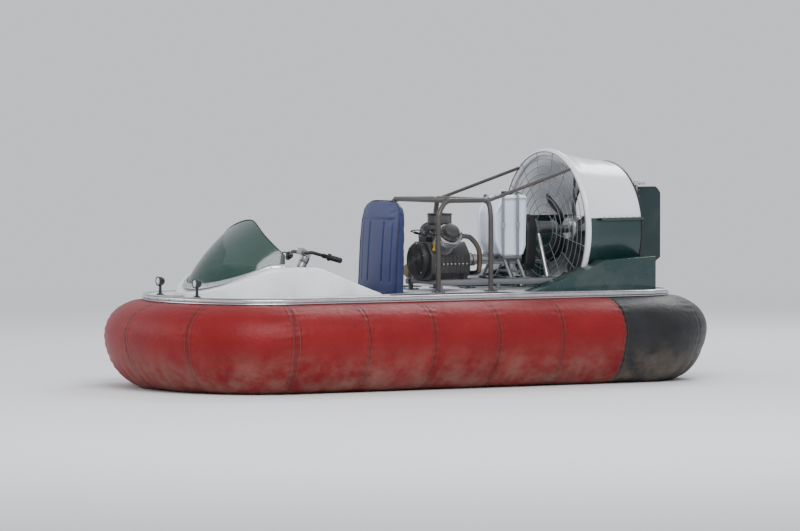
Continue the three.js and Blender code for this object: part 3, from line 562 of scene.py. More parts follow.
def footplate(x, y, low, high, half_x, half_y, inset):
    """A level plate, and the places of four bolts on it, inset from its corners."""
    spots = [(x + dx, y + dy, high) for dx in (inset - half_x, half_x - inset)
             for dy in (inset - half_y, half_y - inset)]
    return block((x - half_x, y - half_y, low), (x + half_x, y + half_y, high)), spots


def bolts(places, ways, size, tall=0.62):
    """Hexagon bolt heads with flanges at the places, all standing one way or each its own."""
    profile = np.array([(0.0, 1.02), (0.16, 1.02), (0.16, 0.72), (tall, 0.72), (tall + 0.1, 0.6)]) * size
    ways = np.broadcast_to(ways, (len(places), 3))
    return fused([turned(profile, place, way, 6) for place, way in zip(places, ways)])


def softened(node, name, material, bevel, body="hull", segments=2, extra=(), angle=25.0):
    """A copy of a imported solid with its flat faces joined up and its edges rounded. It replaces the solid."""
    shell = bmesh.new()
    shell.from_mesh(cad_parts[node].data)
    bmesh.ops.remove_doubles(shell, verts=shell.verts, dist=2e-5)
    bmesh.ops.dissolve_limit(shell, angle_limit=math.radians(1.0), verts=shell.verts, edges=shell.edges)
    shell.verts.index_update()
    points = np.array([vertex.co[:] for vertex in shell.verts])
    faces = [[corner.index for corner in face.verts] for face in shell.faces]
    shell.free()
    return put(name, [(Form(points, faces), material), *extra], body, (node,), angle, bevel, segments)


# %% [markdown]
# ## Coated fabric
#
# The skirt is a heavy woven cloth with a rubbery coat. Its own map runs in metres, along the gunwale and
# down the section, so the weave, the welded tapes and the two rows of stitches follow the cloth wherever it
# turns. Dust settles low down, and salt water leaves pale runs.


# %% Coated fabric and seat vinyl
PANEL = 0.46               # distance between two seams on the fabric's map
TAPE_HALF = 0.022          # half the width of the tape over each seam
THREADS, STITCHES = 2600.0, 900.0   # waves of the weave and of the stitches, in radians to the metre


def coated_fabric(name, colour, faded, tape_colour):
    """Woven cloth under a coat, with a tape over each seam across the map's first axis."""
    f = Finish(name)
    along, down = f.uv("X"), f.uv("Y")
    seam = (along.wrap(PANEL) / PANEL - 0.5).size() * -PANEL + PANEL / 2
    tape = 1 - seam.step(TAPE_HALF - 0.001, TAPE_HALF + 0.001)
    weave = (along * THREADS).sine() * (down * THREADS).sine()
    row = 1 - (seam - TAPE_HALF * 0.62).size().step(0.0006, 0.0016)
    stitch = row * (down * STITCHES).sine().step(-0.2, 0.3)
    clouds = f.noise(3.2, 5.0, 0.6)
    rubbed = f.noise(24.0, 6.0, 0.7).step(0.56, 0.78)
    height = f.axis("Z")
    dust = (1 - height.step(0.02, 0.34)) * f.noise(6.0, 5.0, 0.65).step(0.3, 0.7)
    runs = f.noise(20.0, 4.0, 0.6, f.stretched((1.0, 1.0, 0.12))).step(0.56, 0.82) * height.step(0.06, 0.4)
    base = f.mix(clouds.step(0.3, 0.75) * 0.55, colour, faded)
    base = f.mix(tape * 0.55, base, tape_colour)
    base = f.mix(rubbed * 0.16 + runs * 0.16, base, faded)
    base = f.mix(dust * 0.42 + stitch * 0.35, base, tone(150, 134, 118))
    crumple = f.noise(26.0, 3.0, 0.55) * 0.9 + f.noise(70.0, 3.0) * 0.25
    relief = crumple + weave * 0.02 + tape * 0.15 + stitch * 0.2
    return f.shade({"Base Color": base, "Roughness": rubbed * 0.18 + dust * 0.3 + 0.44,
                    "Normal": f.bump(relief, 0.004), "Specular IOR Level": 0.26})


def vinyl(name, colour, worn):
    """Upholstery vinyl: pebbled grain, a soft sheen and paler rubbed crowns."""
    f = Finish(name)
    grain = f.cells(420.0) * 0.7 + f.noise(160.0, 3.0) * 0.3
    rubbed = f.noise(7.0, 4.0, 0.6).step(0.5, 0.85)
    base = f.mix(rubbed * 0.35, colour, worn)
    base = f.mix(f.noise(60.0, 5.0, 0.7).step(0.66, 0.9) * 0.12, base, tone(150, 152, 160))
    return f.shade({"Base Color": base, "Roughness": rubbed * 0.12 + 0.42, "Normal": f.bump(grain, 0.0006),
                    "Specular IOR Level": 0.5, "Sheen Weight": 0.06})


skirt_red = coated_fabric("skirt_red", tone(114, 8, 13), tone(136, 24, 26), tone(92, 7, 12))
skirt_black = coated_fabric("skirt_black", tone(24, 25, 27), tone(46, 46, 48), tone(16, 16, 18))
seat_vinyl = vinyl("seat_vinyl", tone(30, 42, 92), tone(62, 76, 128))
print("fabrics ready")

# %% [markdown]
# ## Screens, lenses and dials
#
# The windscreen is tinted acrylic. A see-through sheet can be refractive glass, which is slow and often
# noisy, or a glossy surface that is part transparent. The second reads the same at this thickness, and it
# survives an export, so it is used here.


# %% Clear and printed surfaces
def tinted(name, colour, cover, haze):
    """Glossy tinted sheet that hides a share, cover, of what lies behind it."""
    f = Finish(name)
    film = f.noise(5.0, 4.0).step(0.4, 0.8)
    return f.shade({"Base Color": f.mix(film * haze, colour, tone(120, 150, 144)),
                    "Roughness": film * 0.06 + 0.10, "Alpha": film * 0.05 + cover, "Coat Weight": 0.3})


def fluted_lens(name, flutes_by=1100.0):
    """A clear lamp lens over a bright reflector: fine vertical flutes."""
    f = Finish(name)
    flutes = (f.axis("Y") * flutes_by).sine() * 0.5 + (f.axis("Z") * flutes_by).sine() * 0.5
    return f.shade({"Base Color": f.mix(flutes * 0.3 + 0.3, tone(214, 220, 224), tone(150, 156, 160)),
                    "Metallic": 0.35, "Roughness": 0.12, "Coat Weight": 0.9,
                    "Normal": f.bump(flutes, 0.0006)})


smoked_green = tinted("smoked_green", tone(8, 54, 43), 0.76, 0.10)
clear_sheet = tinted("clear_sheet", tone(200, 210, 210), 0.16, 0.1)
lamp_lens = fluted_lens("lamp_lens")
dial_white = plastic("dial_white", tone(196, 198, 206), tone(160, 162, 168), 2200.0, 0.7)
dial_face = plastic("dial_face", tone(22, 23, 25), tone(36, 36, 38), 1600.0, 0.55)
print("clear sheets ready")

# %% [markdown]
# ## Floor and light
#
# A pale floor and three large soft lamps: one high on the camera's side, one wide and weak from the other
# side, and one behind for the edges. A weak even sky fills the shadows. Far out the floor takes the sky's own
# light, so no horizon line crosses the picture.


# %% Floor and light
SKY_TONE = tone(238, 241, 246)
SKY_STRENGTH = 0.92


def floor_finish():
    """Matt and pale near the craft. From 5 to 16 metres out it fades to the colour of the sky."""
    f = Finish("studio_floor")
    far = (f.axis("X") * f.axis("X") + f.axis("Y") * f.axis("Y")).power(0.5).step(5.0, 16.0)
    near = f.shade({"Base Color": f.mix(f.noise(0.6, 2.0) * 0.2, tone(226, 227, 229), tone(216, 217, 220)),
                    "Roughness": 0.85})
    nodes, links = near.node_tree.nodes, near.node_tree.links
    end = next(node for node in nodes if node.type == "OUTPUT_MATERIAL").inputs["Surface"]
    glow = f.node("ShaderNodeEmission", None, {"Color": SKY_TONE, "Strength": SKY_STRENGTH})
    blend = nodes.new("ShaderNodeMixShader")
    f.feed(blend.inputs[0], far)
    links.new(end.links[0].from_socket, blend.inputs[1])
    links.new(glow.outputs[0], blend.inputs[2])
    links.new(blend.outputs[0], end)
    return near


floor_mesh = bpy.data.meshes.new("studio_floor")
REACH = 60.0
STUDIO_Z = -0.0008       # a hair under the skids, so the two faces do not flicker
corners = [(x * REACH, y * REACH, STUDIO_Z) for x, y in ((-1, -1), (1, -1), (1, 1), (-1, 1))]
floor_mesh.from_pydata(corners, [], [(0, 1, 2, 3)])
floor_mesh.materials.append(floor_finish())
studio_floor = bpy.data.objects.new("studio_floor", floor_mesh)
bpy.context.scene.collection.objects.link(studio_floor)


def lamp(name, place, size, power, aim=(0, 0, 0.6)):
    data = bpy.data.lights.new(name, "AREA")
    data.shape = "RECTANGLE"
    data.size = size
    data.size_y = size * 0.6
    data.energy = power
    light = bpy.data.objects.new(name, data)
    light.location = place
    light.rotation_euler = (Vector(aim) - Vector(place)).to_track_quat("-Z", "Y").to_euler()
    bpy.context.scene.collection.objects.link(light)


lamp("key", (3.0, 7.5, 7.5), 7.0, 900)
lamp("fill", (9.0, -6.0, 4.5), 7.0, 240)
lamp("rim", (-6.5, -4.5, 7.0), 5.0, 420)

sky = bpy.data.worlds.new("sky")
sky.use_nodes = True
sky_light = sky.node_tree.nodes["Background"].inputs
sky_light["Color"].default_value = SKY_TONE
sky_light["Strength"].default_value = SKY_STRENGTH
bpy.context.scene.world = sky
print("stage ready")

# %% [markdown]
# ## The gunwale's line
#
# Seen from above, the gunwale is two straight sides joined by arcs: one round the nose, one at each bow
# corner and one at each stern corner. The skirt, its tapes, the rail and the bolts all follow it. It is
# measured out once, closely, and any of them then asks for the point at a distance along it.

# %% The gunwale's line
BULGE = 0.265                                  # how far the bag stands out from the gunwale
BOW_X = HIGH[0] - BULGE
STERN_X = LOW[0] + BULGE
HALF_WIDTH = HIGH[1] - BULGE
NOSE_R, BOW_R, STERN_R = 1.0, 0.48, 0.33
SPLIT_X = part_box("skirt_bag")[0][0]            # where the red bag meets the black one
nose_x = BOW_X - NOSE_R
corner_y = HALF_WIDTH - BOW_R
corner_x = nose_x + math.sqrt((NOSE_R - BOW_R) ** 2 - corner_y ** 2)
nose_angle = math.atan2(corner_y, corner_x - nose_x)


def run(start, end, normal, steps=400):
    """A straight stretch: its points, and the way out from the hull."""
    share = np.linspace(0, 1, steps)[:, None]
    points = np.asarray(start) * (1 - share) + np.asarray(end) * share
    return points, np.broadcast_to(normal, points.shape)


def arc(centre, radius, start, end, steps=300):
    """A round stretch about centre, from one angle to another."""
    angle = np.linspace(start, end, steps)
    out = np.stack([np.cos(angle), np.sin(angle)], axis=1)
    return np.asarray(centre) + radius * out, out


def measured(points):
    """How far along a line each of its points is, from 0 at the first."""
    return np.concatenate([[0], np.cumsum(np.linalg.norm(np.diff(points, axis=0), axis=1))])


def looked_up(place, known, table):
    """The rows of a table at some places, interpolated between those at the known places."""
    return np.stack([np.interp(place, known, column) for column in np.transpose(table)], axis=-1)


class Line:
    """Stretches joined into one line in plan, looked up by the distance along it."""

    def __init__(self, stretches):
        self.points = np.concatenate([points for points, _ in stretches])
        self.normals = np.concatenate([normals for _, normals in stretches])
        self.distance = measured(self.points)
        self.length = self.distance[-1]

    def at(self, distance):
        """Points and ways out, each of shape count, 2."""
        point, out = (looked_up(distance, self.distance, table) for table in (self.points, self.normals))
        return point, unit(out)


def carried(section, place, out):
    """A section of (way out, height) pairs carried along a line: one row of points for each place."""
    section = np.broadcast_to(section, (len(place), *np.shape(section)[-2:]))
    flat = place[:, None, :] + out[:, None, :] * section[:, :, :1]
    return np.concatenate([flat, section[:, :, 1:]], axis=2)


bow_arcs = [arc((corner_x, -corner_y), BOW_R, -QUARTER, -nose_angle),
            arc((nose_x, 0), NOSE_R, -nose_angle, nose_angle),
            arc((corner_x, corner_y), BOW_R, nose_angle, QUARTER)]
stern_cx, stern_cy = STERN_X + STERN_R, HALF_WIDTH - STERN_R
stern_arcs = [arc((stern_cx, stern_cy), STERN_R, QUARTER, 2 * QUARTER),
              run((STERN_X, stern_cy), (STERN_X, -stern_cy), (-1, 0)),
              arc((stern_cx, -stern_cy), STERN_R, 2 * QUARTER, 3 * QUARTER)]


def side_run(x0, x1, side):
    return run((x0, side * HALF_WIDTH), (x1, side * HALF_WIDTH), (0, side))


bow_line = Line([side_run(SPLIT_X, corner_x, -1), *bow_arcs, side_run(corner_x, SPLIT_X, 1)])
STERN_SPLIT = SPLIT_X - 0.001                  # the two bags lie a millimetre apart
stern_line = Line([side_run(STERN_SPLIT, stern_cx, 1), *stern_arcs, side_run(stern_cx, STERN_SPLIT, -1)])
whole_line = Line([side_run(stern_cx, corner_x, -1), *bow_arcs, side_run(corner_x, stern_cx, 1), *stern_arcs])
print("gunwale", round(whole_line.length, 2), "m round")

# %% [markdown]
# ## The inflated skirt
#
# The skirt is one long bag that hangs from the gunwale, swells out, tucks under and is held to the hull's
# bottom. It is sewn up from panels. Air pushes each panel out between its seams, and the seams draw it in
# and pucker it. A cloth simulation of seven metres of bag would be slow and would still need the seams by
# hand, so the bag is a section carried along the gunwale's line, pushed in and out by a formula.


# %% Skirt section
SKIRT_POINTS = np.array([                      # offset from the gunwale and height
    (0.012, 0.5488), (0.095, 0.536), (0.180, 0.492), (0.236, 0.430), (0.2625, 0.345), (0.249, 0.240),
    (0.206, 0.140), (0.138, 0.060), (0.056, 0.0115), (-0.020, 0.0045), (-0.086, 0.032), (-0.135, 0.086),
    (-0.1492, 0.1192)])
SKIRT_BACK = np.array([(-0.044, 0.2094), (-0.0121, 0.5488)])   # the flat back against the hull's side


def evenly(curve, count):
    """The same curve with its points evenly spaced, and how far along it each of them is."""
    distance = measured(curve)
    wanted = np.linspace(0, distance[-1], count)
    return looked_up(wanted, distance, curve), wanted


def bell(distance, width):
    """1 at distance 0, falling off smoothly to either side."""
    return np.exp(-(distance / width) ** 2)


def seam_stations(length, per_panel=46):
    """Distances along the line, crowded near each seam so that its tape and puckers are sharp."""
    whole = int(round(length / PANEL))
    step = np.arange(per_panel) / per_panel
    eased = step - 0.86 * np.sin(2 * math.pi * step) / (2 * math.pi)
    along = np.append((np.arange(whole)[:, None] + eased[None, :]).ravel(), whole)
    return along * length / whole, length / whole


def skirt(name, line, material, node):
    """The bag's section carried along the line, swollen between seams, drawn in and puckered at them."""
    along, panel = seam_stations(line.length)
    section, down = evenly(through(SKIRT_POINTS, 16), 104)
    slope = unit(np.gradient(section, axis=0))
    s, t = along[:, None], (down / down[-1])[None, :]
    near = np.abs(s / panel - np.round(s / panel)) * panel     # how far the nearest seam is
    free = np.sin(math.pi * np.clip(t, 0, 1)) ** 0.5           # 0 where the bag is held, 1 between
    swell = 0.0035 * np.sin(math.pi * (s / panel % 1.0)) ** 2 * free
    draw = -0.0032 * bell(near, 0.016) * free
    tape = 0.0014 / (1 + np.exp((near - TAPE_HALF) / 0.0011))
    pucker = 0.0021 * bell(near, 0.055) * np.sin(down[None, :] * 118 + 2.1 * np.sin(s * 9)) * free
    gathered = 0.0035 * np.exp(-t / 0.035) + 0.0045 * bell(t - 0.62, 0.09)
    gather = np.sin(s * 74 + 1.7 * np.sin(s * 11)) * gathered
    slack = 0.004 * np.sin(s * 5.3 + t * 7) * np.sin(t * 9 + 1.3 * np.sin(s * 2.1)) * free
    folded = 0.5 + 0.5 * np.sin(s * 13 + 1)
    fold = -0.0045 * bell(t - 0.50 - 0.02 * np.sin(s * 6.1), 0.022) * folded
    push = (swell + draw + tape + pucker + gather + slack + fold) * np.clip(t / 0.02, 0, 1)
    offset = section[:, 0] - push * slope[:, 1] * np.where(t < 0.9, 1, 0)
    height = np.maximum(section[:, 1] + push * slope[:, 0], 0.0025)
    back = np.broadcast_to(SKIRT_BACK, (len(along), 2, 2))
    bag = np.concatenate([np.stack([offset, height], axis=2), back], axis=1)
    map_along = s / panel * PANEL                              # so that the fabric's tapes fall on the seams
    map_down = np.append(down, [down[-1] + 0.12, down[-1] + 0.45])
    uv = np.stack(np.broadcast_arrays(map_along, map_down[None, :]), axis=2)
    form = closed_rows(carried(bag, *line.at(along)), uv)
    piece = put(name, [(form, material)], replaces=(node,), crease_deg=55)
    print(name, "has", len(piece.data.polygons), "faces, a seam every", round(panel, 3), "m")


skirt("skirt_bag_red", bow_line, skirt_red, "skirt_bag")
skirt("skirt_bag_black", stern_line, skirt_black, "skirt_stern")

# %% [markdown]
# ## Gunwale rail
#
# An alloy strip clamps the top of the bag to the hull all the way round. It has a rounded outer edge, and a
# bolt every 15 cm or so. A curve with a bevel would do, but the rail's section isn't round, so the section
# is carried along the same line as the bag.


# %% Rail and its bolts
def rail():
    """A flat section with a rolled nose, carried round the whole gunwale, bolts on its outer face."""
    low, high = (corner[2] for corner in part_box("gunwale_rail"))
    mid = (low + high) / 2
    nose = [(0.0135 + 0.0045 * math.sin(a), mid + 0.012 * math.cos(a)) for a in np.linspace(0.25, 2.9, 7)]
    section = [(-0.006, high - 0.0035), (-0.006, high), (0.010, high), (0.0165, high - 0.004), *nose,
               (0.0165, low + 0.004), (0.012, low), (-0.0004, low), (-0.0004, high - 0.0035)]
    around = np.linspace(0, whole_line.length, 760, endpoint=False)
    strip = surface(carried(section, *whole_line.at(around)), True, True)
    place, out = whole_line.at(np.arange(0.07, whole_line.length, 0.15))
    heads = np.insert(place + out * 0.0165, 2, mid, axis=1)
    screws = bolts(heads, np.insert(out, 2, 0.0, axis=1), 0.0085, 0.5)
    put("gunwale_rail_rolled", [(strip, rail_alloy), (screws, bolt_metal)],
        replaces=("gunwale_rail",))


rail()

# %% [markdown]
# ## Cowl and cockpit
#
# A white moulding stands round the front of the cockpit: a hood that slopes to the bow, and two low walls
# that run aft beside the seat. The hood is ruled: straight lines run from points along its outer edge back to
# points along its rear edge, and their heights come from one side view. Near the edge the skin turns down in
# a quarter circle, because a moulding has no sharp corners.

# %% Cowl
DECK_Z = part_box("deck_moulding")[1][2]
(COWL_AFT, _, _), (COWL_NOSE, COWL_HALF, COWL_HIGH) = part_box("dash_cowl")
COWL_LOW = DECK_Z + 0.011
CREST_FORE, CREST_AFT = 1.19, 0.88             # between them the side view is level
HOOD_REAR, OVAL_START = 0.962, 1.02
COWL_WALL = 0.034


def lower_of(a, b, blend):
    """The lower of two numbers, with the corner between them rounded over a distance of blend."""
    share = np.clip(0.5 + 0.5 * (b - a) / blend, 0, 1)
    return b * (1 - share) + a * share - blend * share * (1 - share)


def cowl_top(x):
    """Height of the cowl's top: a level crest between two straight slopes, its corners rounded."""
    fall = COWL_HIGH - COWL_LOW
    fore = COWL_HIGH - (x - CREST_FORE) * fall / (COWL_NOSE - CREST_FORE)
    aft = COWL_HIGH - (CREST_AFT - x) * fall / (CREST_AFT - COWL_AFT)
    return lower_of(lower_of(fore, aft, 0.02), COWL_HIGH, 0.02)


def oval(steps=400):
    """The hood's nose in plan: half an oval, with the way out square to it."""
    angle = np.linspace(QUARTER, -QUARTER, steps)
    reach = COWL_NOSE - OVAL_START
    points = np.stack([OVAL_START + reach * np.cos(angle), COWL_HALF * np.sin(angle)], axis=1)
    return points, unit(np.stack([np.cos(angle) / reach, np.sin(angle) / COWL_HALF], axis=1))


hood_line = Line([run((HOOD_REAR, COWL_HALF), (OVAL_START, COWL_HALF), (0, 1), 60), oval(),
                  run((OVAL_START, -COWL_HALF), (HOOD_REAR, -COWL_HALF), (0, -1), 60)])


def hood_skin(inset, drop, edge, across=121, ruled=26):
    """The hood's skin, moved in and down: side wall, quarter circle, then ruled to the rear."""
    share = np.linspace(0, 1, across)
    place, out = hood_line.at(share * hood_line.length)
    crest = cowl_top(place[:, 0] - out[:, 0] * edge) - drop
    turn = np.minimum(edge, 0.45 * (crest - DECK_Z))
    rows = [(inset, np.full(across, DECK_Z)), (inset, (crest - turn + DECK_Z) / 2)]
    rows += quarter_circle(inset, crest, turn, turn, 8)
    grid = [np.column_stack([place - out * np.broadcast_to(depth, across)[:, None], height])
            for depth, height in rows]
    shoulder = grid[-1][:, :2]
    rear = np.column_stack([np.full(across, HOOD_REAR), (COWL_HALF - inset - edge) * np.cos(math.pi * share)])
    for part in np.linspace(0, 1, ruled)[1:]:
        flat = shoulder * (1 - part) + rear * part
        grid.append(np.column_stack([flat, cowl_top(flat[:, 0]) - drop]))
    return np.stack(grid)


def coaming(side):
    """The low wall beside the cockpit: an upside-down U, its height from the side view."""
    x = np.linspace(COWL_AFT, HOOD_REAR - HAIR, 44)
    top = cowl_top(x)
    edge = np.minimum(0.015, 0.45 * (top - DECK_Z))
    inner, foot_z = COWL_HALF - COWL_WALL, DECK_Z + HAIR
    rows = [(COWL_HALF, foot_z), *quarter_circle(COWL_HALF, top, -edge, edge, 6),
            *quarter_circle(inner, top, edge, edge, 6)[::-1], (inner, foot_z)]
    loops = [np.stack(np.broadcast_arrays(x, side * y, z), axis=1) for y, z in rows]
    return closed_rows(np.stack(loops, axis=1))


hood = walled(hood_skin(0, 0, 0.03), hood_skin(0.022, 0.024, 0.012))
put("cowl_moulding", [(fused([hood, coaming(1), coaming(-1)]), white_gelcoat)],
    replaces=("dash_cowl",), crease_deg=40)

# %% [markdown]
# ## Cockpit liner and deck
#
# The well is lined with one moulding: a flange on the deck, a wall and a rounded corner at the floor. It is
# the same section carried round a rounded rectangle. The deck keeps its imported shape, with rounded edges.


# %% Cockpit liner and deck
def rounded_rectangle(x0, x1, half, radius):
    """A rounded rectangle as a Line, anticlockwise from its starboard side, the way out from its middle."""
    fore, aft, side = x1 - radius, x0 + radius, half - radius
    centres = [(fore, -side), (fore, side), (aft, side), (aft, -side)]
    turns = [arc(centre, radius, k * QUARTER, (k + 1) * QUARTER, 80) for k, centre in enumerate(centres, -1)]
    joined = []
    for before, after in zip(turns, turns[1:] + turns[:1]):
        joined += [before, run(before[0][-1], after[0][0], before[1][-1], 40)]
    return Line(joined)


WELL_AFT, WELL_FORE, WELL_HALF = 0.06, 1.13, 0.455
FLOOR_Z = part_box("hull_pan")[1][2]
well_line = rounded_rectangle(WELL_AFT, WELL_FORE, WELL_HALF, 0.06)


def liner():
    """Flange, wall and fillet round the well, then a flat floor. Offsets are negative inside the well."""
    rim, fillet = DECK_Z + 0.004, 0.028
    section = [(0.018, DECK_Z + HAIR), (0.018, DECK_Z + 0.003), (0.015, rim), (0.003, rim)]
    section += [(-0.001 - 0.004 * math.sin(a), DECK_Z + 0.004 * math.cos(a))
                for a in np.linspace(0, QUARTER, 5)]
    section += quarter_circle(-0.006, FLOOR_Z + 0.0002, -fillet, -fillet, 7)
    along = np.linspace(0, well_line.length, 240, endpoint=False)
    lined = surface(carried(section, *well_line.at(along)).swapaxes(0, 1), False, True)
    lined.faces.append(list(range(len(lined.points) - len(along), len(lined.points))))
    return lined


put("cockpit_liner", [(liner(), hull_gelcoat)], crease_deg=35)
softened("deck_moulding", "deck_top", white_gelcoat, 0.004)
softened("stern_deck", "deck_stern_top", white_gelcoat, 0.004)

# %% [markdown]
# ## Windscreen
#
# The screen wraps round the front of the cockpit and leans back as it rises. At each height it is part of an
# oval, and the oval's middle, reach and half-width are smooth functions of height, so the sheet has no kinks.
# A thin trim finishes its free edge, and a moulding with screws holds its foot.


# %% Windscreen
SCREEN_OVALS = np.array([                      # height, middle in X, reach forward of it, half-width
    (0.560, 1.050, 0.490, 0.468), (0.700, 1.040, 0.425, 0.440), (0.840, 1.025, 0.335, 0.395),
    (0.960, 1.010, 0.215, 0.335), (1.060, 1.000, 0.090, 0.260)])
oval_fits = [np.polyfit(SCREEN_OVALS[:, 0], SCREEN_OVALS[:, k], 3) for k in (1, 2, 3)]
SCREEN_TURN = math.radians(84)


def on_screen(angle, height, offset=0.0):
    """The point at an angle round the screen's oval at a height, moved out by offset."""
    middle, reach, half = (np.polyval(fit, height) for fit in oval_fits)
    return np.stack([middle + (reach + offset) * np.cos(angle), (half + offset) * np.sin(angle),
                     np.broadcast_to(height, np.shape(angle))], axis=-1)


def screen_crest(angle):
    return 0.800 + 0.255 * np.cos(angle) ** 0.8


def screen_foot(angle):
    """The height at which the screen meets the hood."""
    return cowl_top(on_screen(angle, np.full_like(angle, 0.70))[..., 0])


turn = np.linspace(-SCREEN_TURN, SCREEN_TURN, 81)
rise = np.linspace(0, 1, 30)[:, None]
heights = (screen_foot(turn) - 0.006) * (1 - rise) + screen_crest(turn) * rise
wide_turn = np.broadcast_to(turn, heights.shape)
sheet = walled(on_screen(wide_turn, heights), on_screen(wide_turn, heights, -0.004))
put("windscreen_sheet", [(sheet, smoked_green)], replaces=("windscreen",),
    crease_deg=50)


def screen_side(column):
    """The sheet's edge at one side, from near its foot to its top."""
    share = np.linspace(0.05, 1, 14)
    height = heights[0, column] * (1 - share) + heights[-1, column] * share
    return on_screen(np.full(14, turn[column]), height, -0.002)


crest = on_screen(turn, heights[-1], -0.002)
edge_path = np.concatenate([screen_side(0)[:-1], crest, screen_side(-1)[::-1][1:]])
put("screen_edge_trim", [(pipe(edge_path, 0.0042, 10), black_plastic)])


def screen_moulding():
    """A flat strip with a rounded top, carried round the screen's foot, with a screw every few degrees."""
    strip = [(0.0006, -0.010), (0.0155, -0.010), (0.0155, 0.010), (0.013, 0.017), (0.0085, 0.0205),
             (0.004, 0.019), (0.0006, 0.013)]
    loops = [on_screen(turn, screen_foot(turn) + up, out) for out, up in strip]
    spots = np.linspace(-SCREEN_TURN * 0.96, SCREEN_TURN * 0.96, 17)
    heads, behind = (on_screen(spots, screen_foot(spots) + 0.004, out) for out in (0.0155, 0.0))
    put("screen_base_moulding", [(closed_rows(np.stack(loops, axis=1)), rail_alloy),
                                 (bolts(heads, heads - behind, 0.006, 0.35), bolt_metal)],
        replaces=("screen_moulding",), crease_deg=50)


screen_moulding()

# %% [markdown]
# ## Bow lamps and dash
#
# Each lamp is a turned bullet housing on a short stalk, with a bezel and a fluted lens. The dash carries four
# round gauges. Their scales are plain ticks, and each has a needle under a flat glass.


# %% Bow lamps and dash
LAMP_X, LAMP_Y = 1.600, 0.250
DIAL_Z, PLATE_HALF = 0.670, 0.018              # height of the gauges' middles, and half their plate's height


def bow_lamp(side_name, side):
    stand = np.array([LAMP_X, side * LAMP_Y, DECK_Z + HAIR])
    middle = stand + UP * 0.0856
    housing = [(-0.029, 0.004), (-0.0275, 0.011), (-0.022, 0.020), (-0.012, 0.0265), (0.004, 0.0285),
               (0.012, 0.0285), (0.013, 0.0298), (0.019, 0.0298), (0.0205, 0.0275), (0.0195, 0.0255),
               (0.016, 0.025)]
    lens = [(0.0155, 0.0248), (0.0185, 0.022), (0.0215, 0.014), (0.0225, 0.002)]
    stalk = [(0, 0.024), (0.004, 0.024), (0.007, 0.021), (0.010, 0.0105), (0.048, 0.0085), (0.062, 0.010)]
    spots = [stand + (0.017 * math.cos(a), 0.017 * math.sin(a), 0.005) for a in (0.5, 2.6, 4.7)]
    body = fused([turned(housing, middle, segments=48), turned(stalk, stand, UP, 40)])
    put(f"bow_lamp_bullet_{side_name}", [
        (body, black_plastic), (turned(lens, middle, segments=48), lamp_lens),
        (bolts(spots, UP, 0.003, 0.5), bolt_metal)],
        replaces=(f"bow_lamp_{side_name}",))


bow_lamp("port", 1)
bow_lamp("starboard", -1)


def dash():
    """Four gauges on a plate: bezel, face, ticks, needle and glass, turned about the way that they face."""
    low, high = np.array(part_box("dial_cluster"))
    along, across, up = frame_of((-0.025, 0, -0.004))
    bezel = [(-0.014, 0.034), (0.008, 0.0355), (0.0115, 0.0345), (0.012, 0.0325), (0.009, 0.0305),
             (0.006, 0.0305), (0.006, 0.034)]

    def stroke(middle, degrees, lift, start, end, radius, sides):
        """A mark on a dial, from one distance off its middle to another."""
        ray = across * math.sin(math.radians(degrees)) + up * math.cos(math.radians(degrees))
        return pipe([middle + along * lift + ray * reach for reach in (start, end)], radius, sides)

    bezels, faces, marks, glass = [], [], [], []
    for index, y in enumerate((-0.15, -0.05, 0.05, 0.15)):
        middle = np.array([low[0] + 0.012, y, DIAL_Z])
        bezels.append(turned(bezel, middle, along, 56, True))
        faces.append(turned([(-0.013, 0.0345), (0.0055, 0.0305), (0.0058, 0.001)], middle, along, 56))
        glass.append(turned([(0.0085, 0.0303), (0.0092, 0.030), (0.0094, 0.001)], middle, along, 40))
        for tick in range(13):
            start, thick = (0.0225, 0.0007) if tick % 3 == 0 else (0.025, 0.00045)
            marks.append(stroke(middle, -130 + tick * 260 / 12, 0.0062, start, 0.0285, thick, 4))
        marks.append(stroke(middle, -110 + 34 * index, 0.0068, -0.005, 0.021, [0.0012, 0.0005], 5))
    plate_low, plate_high = DIAL_Z - PLATE_HALF, DIAL_Z + PLATE_HALF
    outline = [(low[1], plate_low), (high[1], plate_low), (high[1], plate_high), (low[1], plate_high)]
    plate = prism(outline, high[0] - 0.012, high[0], "X")
    put("dash_gauges", [(fused([plate, *faces]), dial_face), (fused(bezels), rail_alloy),
                        (fused(marks), dial_white), (fused(glass), clear_sheet)],
        replaces=("dial_cluster",))
    softened("dash_panel", "dash_board", black_plastic, 0.005)


dash()

# %% [markdown]
# ## Fan duct
#
# The duct is a ring of fibreglass in two mouldings: a dark lower casing that is part of the hull, and a white
# upper hood bolted to it at flanges. Both are the same profile turned about the fan's axis. Each stops where
# it meets the flange's level, so the angle at which a ring of points starts depends on its radius.

# %% Duct shells
AXIS_Z = 0.968                                  # the fan turns about a line along X at this height
DUCT_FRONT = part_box("duct_lip")[1][0] - 0.008
DUCT_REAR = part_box("duct_lower")[0][0]
SPLIT_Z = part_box("duct_upper")[0][2]
THROAT = 0.412                                  # the duct's smallest inside radius
DUCT_LONG = DUCT_FRONT - DUCT_REAR
# Pairs of distance aft of the duct's front and radius.
OUTSIDE = np.array([(0.026, 0.522), (0.060, 0.511), (0.110, 0.496), (0.250, 0.466), (0.360, 0.452),
                    (DUCT_LONG, 0.440)])
INSIDE = np.array([(0.026, 0.486), (0.060, 0.450), (0.110, 0.426), (0.185, THROAT), (0.330, THROAT),
                   (DUCT_LONG, THROAT)])


